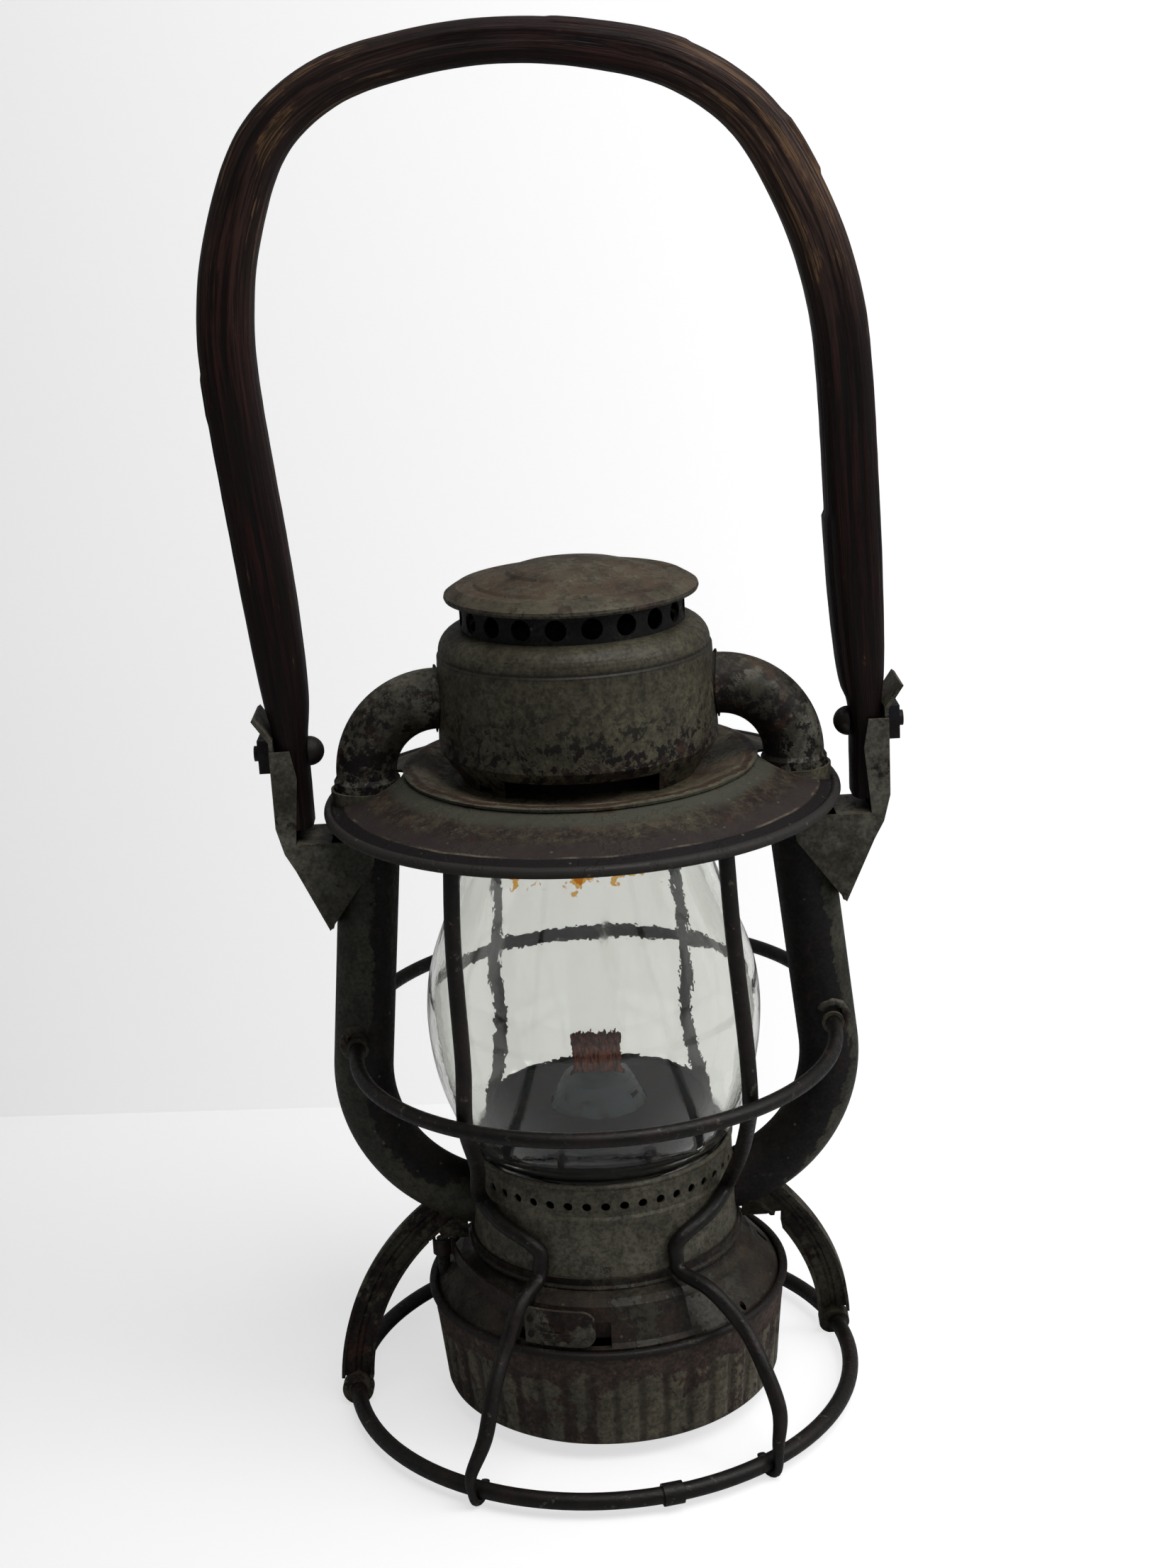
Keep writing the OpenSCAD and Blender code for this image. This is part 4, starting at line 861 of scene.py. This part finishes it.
def guard_line(side, facing, top_share, ring_share, foot_angle):
    """Points down one upright, in the right rear quarter, then mirrored to its own."""
    top_x, ring_x = top_share * guard_ring_radius, ring_share * guard_ring_radius
    inside = guard_ring_radius - ring_to_wire
    ring_y = guard_ring_forward + math.sqrt(inside**2 - ring_x**2)
    top_y = math.sqrt((brim_edge_radius - ring_to_wire) ** 2 - top_x**2)
    hug = collar_radius + wire_radius + slip
    grip, out = collar_grip_angle, base_ring_radius
    reach = base_ring_half + hook_radius + slip
    wrap = [polar(hug, angle, collar_rim_z - drop)
            for angle, drop in ((60, 0.009), (47, 0.015), (32.5, 0.0186), (grip, 0.0216))]
    wrap[0][1] += 0.0014
    leg = [polar(hug + 0.0003, grip, collar_foot_z + 0.0084),
           polar(collar_radius + 0.0046, grip, collar_foot_z + 0.0046),
           polar(0.0562, (grip + foot_angle) / 2, collar_foot_z + 0.0011),
           polar(0.0645, foot_angle, 0.0417),
           polar(out - 0.006, foot_angle, 0.033), polar(out + 0.0006, foot_angle, base_ring_z + 0.0155)]
    hook = [(reach, 0.0065, 0.0018), (reach, 0.0006, 0.00135), (0.7 * reach, -0.7 * reach, hook_radius),
            (0, -reach, hook_radius), (-0.7 * reach, -0.7 * reach, hook_radius),
            (-reach, 0.0006, hook_radius)]
    bent = [polar(out + far, foot_angle, base_ring_z + high)[:3] + [thick] for far, high, thick in hook]
    for point in bent:
        point[0] += base_ring_shift * side
        point[1] -= base_ring_forward * facing
    down = [[top_x, top_y, brim_foot_z - 0.0007], [top_x + 0.001, top_y + 0.0016, brim_foot_z - 0.024],
            [ring_x - 0.0006, ring_y - 0.0008, guard_ring_z + 0.018],
            [ring_x, ring_y, guard_ring_z + 0.003],
            [ring_x - 0.0002, ring_y - 0.0026, guard_ring_z - 0.005],
            [ring_x - 0.0014, (ring_y + 0.024) / 2, (guard_ring_z + collar_rim_z) / 2 - 0.0066]]
    points = np.array([point + [wire_radius] for point in down] + wrap + leg + bent)
    return points * [side, facing, 1, 1]


# Side, facing, shares of the guard ring's radius at brim and ring, angle of the foot
uprights = {"guard_wire_front_left": (-1, -1, 0.514, 0.528, 29.5),
            "guard_wire_front_right": (1, -1, 0.528, 0.583, 37),
            "guard_wire_rear_left": (-1, 1, 0.444, 0.472, 33),
            "guard_wire_rear_right": (1, 1, 0.444, 0.472, 33)}
for seed, (node, shape) in enumerate(uprights.items()):
    line, marks = evenly(through(guard_line(*shape), 6), 0.0012)
    rows = tube_rows(line[:, :3], line[:, 3], wire_sides, seed)
    piece = grid_piece(node.replace("guard_wire", "upright"), rows, "root", black_wire, smooth_angle=60)
    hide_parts(node)
print("four uprights, each", round(float(marks[-1]), 3), "m of wire")

# %% [markdown]
# Where the guard ring's front ends meet the side tubes, old solder has torn into a ragged C.
# It is a short tube along an arc, its thickness pulled about by a random curve.

# %% Torn solder
def torn_lump(side, reach=0.0042, thick=0.0016, sides=14):
    """Points of an arc in the plane square to the ring's end, then circles round it of uneven radius."""
    angle = np.linspace(-1.9, 2.6, 60)
    tapered = np.clip((2.75 - np.abs(angle - 0.35)) / 0.5, 0.3, 1)
    bulk = thick * (0.8 + 0.35 * ripple(angle * 2, 8 + side, 6)) * tapered
    line = np.stack([side * (guard_ring_radius + reach * np.cos(angle)),
                     -guard_ring_forward + 0.0036 + 0 * angle,
                     guard_ring_z + 0.0012 + reach * 1.15 * np.sin(angle)], 1)
    return tube_rows(line, bulk, sides, 30 + side)


for side, word in ((-1, "left"), (1, "right")):
    lump = grid_piece("torn_solder_" + word, torn_lump(side), "root", ear_paint, smooth_angle=60)
print("two lumps of solder")

# %% [markdown]
# ## The globe
# The globe is a pear of blown glass. Its wall isn't even: waves one to three centimetres long
# run through both surfaces, and though they are only hundredths of a millimetre high, they make
# the wires behind the glass look jagged. So the shell is drawn as a fine grid with an outer and
# an inner surface, each with its own waves.

# %% Globe shell
globe_radius, globe_foot_z, globe_tall, globe_wall = 0.0508, 0.084, 0.109, 0.0022
globe_outline = [(0.757, 0), (0.782, 0.02), (0.855, 0.075), (0.935, 0.175), (0.982, 0.275), (1, 0.385),
                 (0.983, 0.485), (0.944, 0.56), (0.855, 0.67), (0.768, 0.78), (0.7, 0.88), (0.664, 0.955),
                 (0.658, 1)]


def wave_field(turn, height, seed, shortest, longest, count=26):
    """A sum of plane waves over angle and height; whole turns around, so that the seam closes."""
    chance = np.random.default_rng(seed)
    total = 0 * turn * height
    for _ in range(count):
        size = math.exp(chance.uniform(math.log(shortest), math.log(longest)))
        slant = chance.uniform(0, math.pi)
        around = round(2 * math.pi * globe_radius / size * math.cos(slant))
        upward = 2 * math.pi / size * math.sin(slant)
        total = total + size * np.cos(around * turn + upward * height + chance.uniform(0, 6.28))
    return total / (longest * math.sqrt(count))


def globe_rows(columns=400, steps=9):
    """Outer profile up, inner profile down, a wall's thickness along the normal apart, both with waves."""
    curve = through(np.array(globe_outline) * [globe_radius, globe_tall] + [0, globe_foot_z], steps)
    along = np.gradient(curve, axis=0)
    normal = np.stack([along[:, 1], -along[:, 0]], 1) / np.linalg.norm(along, axis=1)[:, None]
    inside = curve - normal * globe_wall
    inside[:, 1] = np.clip(inside[:, 1], globe_foot_z, globe_foot_z + globe_tall)
    turn = turns(columns)[None, :]
    shells = []
    for seed, line, deep in ((21, curve, 0.00001), (22, inside[::-1], 0.00004)):
        height = line[:, 1:2]
        edge = np.clip(np.minimum(height - globe_foot_z, globe_foot_z + globe_tall - height) / 0.004, 0, 1)
        waves = edge * deep * (wave_field(turn, height, seed, 0.007, 0.03) - 1)
        radius = line[:, :1] + waves
        shells.append(about_axis(radius, height, turn))
    return np.concatenate([shells[0], shells[1], shells[0][:1]])


globe_shell = grid_piece("globe_shell", globe_rows(), "root", glass, smooth_angle=70)
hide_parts("globe")
print("globe faces", len(globe_shell.data.polygons))

# %% [markdown]
# A soot-black ring lines the foot of the flue as painted shade, so that no light comes through its ring of
# holes.

# %% Painted shade ring in the flue
def ring_rows(profile, columns=96):
    """A closed profile of radius and height turned about the lantern's axis."""
    turn = turns(columns)
    line = np.array(profile + profile[:1])
    radius = line[:, :1] + 0 * turn[None, :]
    return about_axis(radius, line[:, 1:2], turn)


flue_low, flue_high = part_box("flue")
flue_inner, shade_ring_thick = float(flue_high[0]) - 0.0008, 0.0004
shade_ring_low, shade_ring_high = (float(flue_low[2]) + above for above in (0.001, 0.012))
# A dark ring inside the foot of the flue: painted shade behind its holes.
shade_ring_rows = ring_rows([(flue_inner, shade_ring_low), (flue_inner, shade_ring_high),
                       (flue_inner - shade_ring_thick, shade_ring_high), (flue_inner - shade_ring_thick, shade_ring_low)])
flue_shade_ring = grid_piece("flue_shade_ring", shade_ring_rows, "hood", soot_black)
print("soot ring radius", round(flue_inner, 4))

# %% [markdown]
# ## The fount's flutes
# The flutes were pressed into the side of the pan. They are soft, so the radius follows a
# rounded wave around the pan, which fades out above the foot and below the smooth band.

# %% Fount shell
fount_foot_z, fount_foot_radius, fount_rim_radius, fount_height = 0.0055, 0.0525, 0.0565, 0.033
flute_depth, fount_wall, columns_per_flute = 0.0006, 0.0013, 12


def fount_rows(columns):
    """Outer and inner wall as one closed profile; flutes lower the radius by a power of a cosine."""
    top = fount_foot_z + fount_height - 0.0026
    slope = (fount_rim_radius - 0.0012 - fount_foot_radius) / (fount_height - 0.003)
    side = lambda z: fount_foot_radius + slope * (z - fount_foot_z)
    up = np.linspace(fount_foot_z + 0.0016, top, 46)
    outer = [(0, fount_foot_z), (fount_foot_radius - 0.0017, fount_foot_z),
             (fount_foot_radius - 0.0009, fount_foot_z + 0.00018),
             (fount_foot_radius - 0.0002, fount_foot_z + 0.0008)]
    inner = [(side(top) - fount_wall, top), (side(fount_foot_z + 0.002) - fount_wall, fount_foot_z + 0.002),
             (0, fount_foot_z + 0.0013)]
    line = np.array(outer + [(side(z), z) for z in up] + inner)
    turn = turns(columns)
    band_top = fount_foot_z + fount_height - 0.0095
    press = (np.clip((line[:, 1] - fount_foot_z - 0.0012) / 0.003, 0, 1)
             * np.clip((band_top - line[:, 1]) / 0.002, 0, 1))
    press[len(outer) + len(up):] = 0
    press[:len(outer)] = 0
    wave = (0.5 + 0.5 * np.cos(flute_count * turn)) ** 1.6
    uneven = 0.75 + 0.35 * np.cos(turn - 2.6) * np.cos(3 * turn)
    radius = line[:, :1] - flute_depth * 1.25 * press[:, None] * (wave * uneven)[None, :]
    dent = 0.00025 * ripple(turn, 9, 6)[None, :] * np.clip((top - line[:, 1:2]) / 0.02, 0, 1)
    radius = np.where(line[:, :1] > 0.03, radius - np.abs(dent), radius)
    return about_axis(radius, line[:, 1:2], turn)


fount_shell = grid_piece("fount_shell", fount_rows(flute_count * columns_per_flute), "fount", fount_paint,
                         smooth_angle=50)
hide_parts("fount_body")
print("fount shell faces", len(fount_shell.data.polygons))

# %% [markdown]
# ## The wick
# A flat woven wick, scorched brown at its end and frayed by trimming. The woven band is a
# thin slab whose surface is pressed into rows; the frayed end is a brush of short threads.

# %% Wick
wick_wide, wick_thick, wick_low_z, wick_top_z = 0.0152, 0.0025, 0.0195, 0.116


def wick_material():
    """Warm brown cotton, darker to the burnt top, with its ribs as bump."""
    material, shader, here = new_material("scorched_cotton")
    thread = noise(stretched(here, 1, 1, 0.25), 1500.0, 3.0, 0.7)
    cotton = mix(rise(thread, 0.35, 0.65), tint(44, 22, 15), tint(134, 74, 52))
    burnt = rise(xyz(here)["Z"], wick_top_z - 0.006, wick_top_z - 0.001, 0.0, 0.25)
    fill(shader, Base_Color=mix(burnt, cotton, tint(70, 30, 22)), Roughness=0.95, Specular_IOR_Level=0.1)
    bump(shader, thread, 0.0003)
    return material


def wick_band(columns=120, rows=90):
    """A rounded slab: half width and half thickness times cosine and sine powers, with woven ribs."""
    turn = turns(columns)
    band_top_z = wick_top_z - 0.0018
    height = np.linspace(wick_low_z, band_top_z, rows)[:, None]
    rib = 1 - 0.09 * np.abs(np.sin(height * 2600 + 3 * turn[None, :]))
    x = (wick_wide / 2 - 0.0001) * bulge(np.cos(turn), 0.35)[None, :] + 0 * height
    y = (wick_thick / 2 - 0.0001) * bulge(np.sin(turn), 0.6)[None, :] * rib
    body = np.stack([x, y, height + 0 * x], -1)
    return capped(body, [0, 0, wick_low_z], [0, 0, band_top_z])


cotton = wick_material()
wick_piece = grid_piece("wick_band", wick_band(), "wick", cotton)
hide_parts("wick")


def frayed_end(count=1500, sides=4, stations=5):
    """Short tapering threads on the wick's end, bent by seeded amounts inside the wick's own outline."""
    chance = np.random.default_rng(3)
    x = chance.uniform(-0.5, 0.5, count) * (wick_wide - 0.0008)
    y = chance.uniform(-0.5, 0.5, count) * (wick_thick - 0.0006)
    tall = 0.0026 + 0.0014 * ripple(x * 1800, 4, 5) + chance.uniform(-0.0014, 0.001, count)
    bend = np.stack([x * 0.02 + chance.normal(0, 0.0006, count),
                     y * 0.9 + chance.normal(0, 0.0007, count)], 1)
    t = np.linspace(0, 1, stations)[None, :, None]
    spread = np.stack([x, y], 1)[:, None, :] + bend[:, None, :] * t**2
    room = np.array([wick_wide / 2, wick_thick / 2])
    line = np.concatenate([np.clip(spread, -room, room), wick_top_z - 0.003 + tall[:, None, None] * t], 2)
    turn = turns(sides)
    ring = np.stack([np.cos(turn), np.sin(turn), 0 * turn], 1)
    thin = 0.00042 * (1 - 0.5 * t)
    return line[:, :, None, :] + ring[None, None] * thin[..., None]


threads = frayed_end()
count, stations, sides = threads.shape[:3]
first = (np.arange(count) * stations * sides)[:, None, None]
step = (np.arange(stations - 1) * sides)[None, :, None]
here = np.arange(sides)[None, None, :]
there = (here + 1) % sides
walls = np.stack([first + step + here, first + step + there, first + step + sides + there,
                  first + step + sides + here], -1).reshape(-1, 4)
corner = np.arange(sides)
lids = np.concatenate([first[:, 0] + corner[::-1], first[:, 0] + (stations - 1) * sides + corner])
fray_mesh = bpy.data.meshes.new("wick_fray")
fray_mesh.from_pydata(threads.reshape(-1, 3), [], np.concatenate([walls, lids]))
fray_mesh.materials.append(cotton)
fray = placed("wick_fray", fray_mesh)
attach(fray, "wick")
print("wick threads", count)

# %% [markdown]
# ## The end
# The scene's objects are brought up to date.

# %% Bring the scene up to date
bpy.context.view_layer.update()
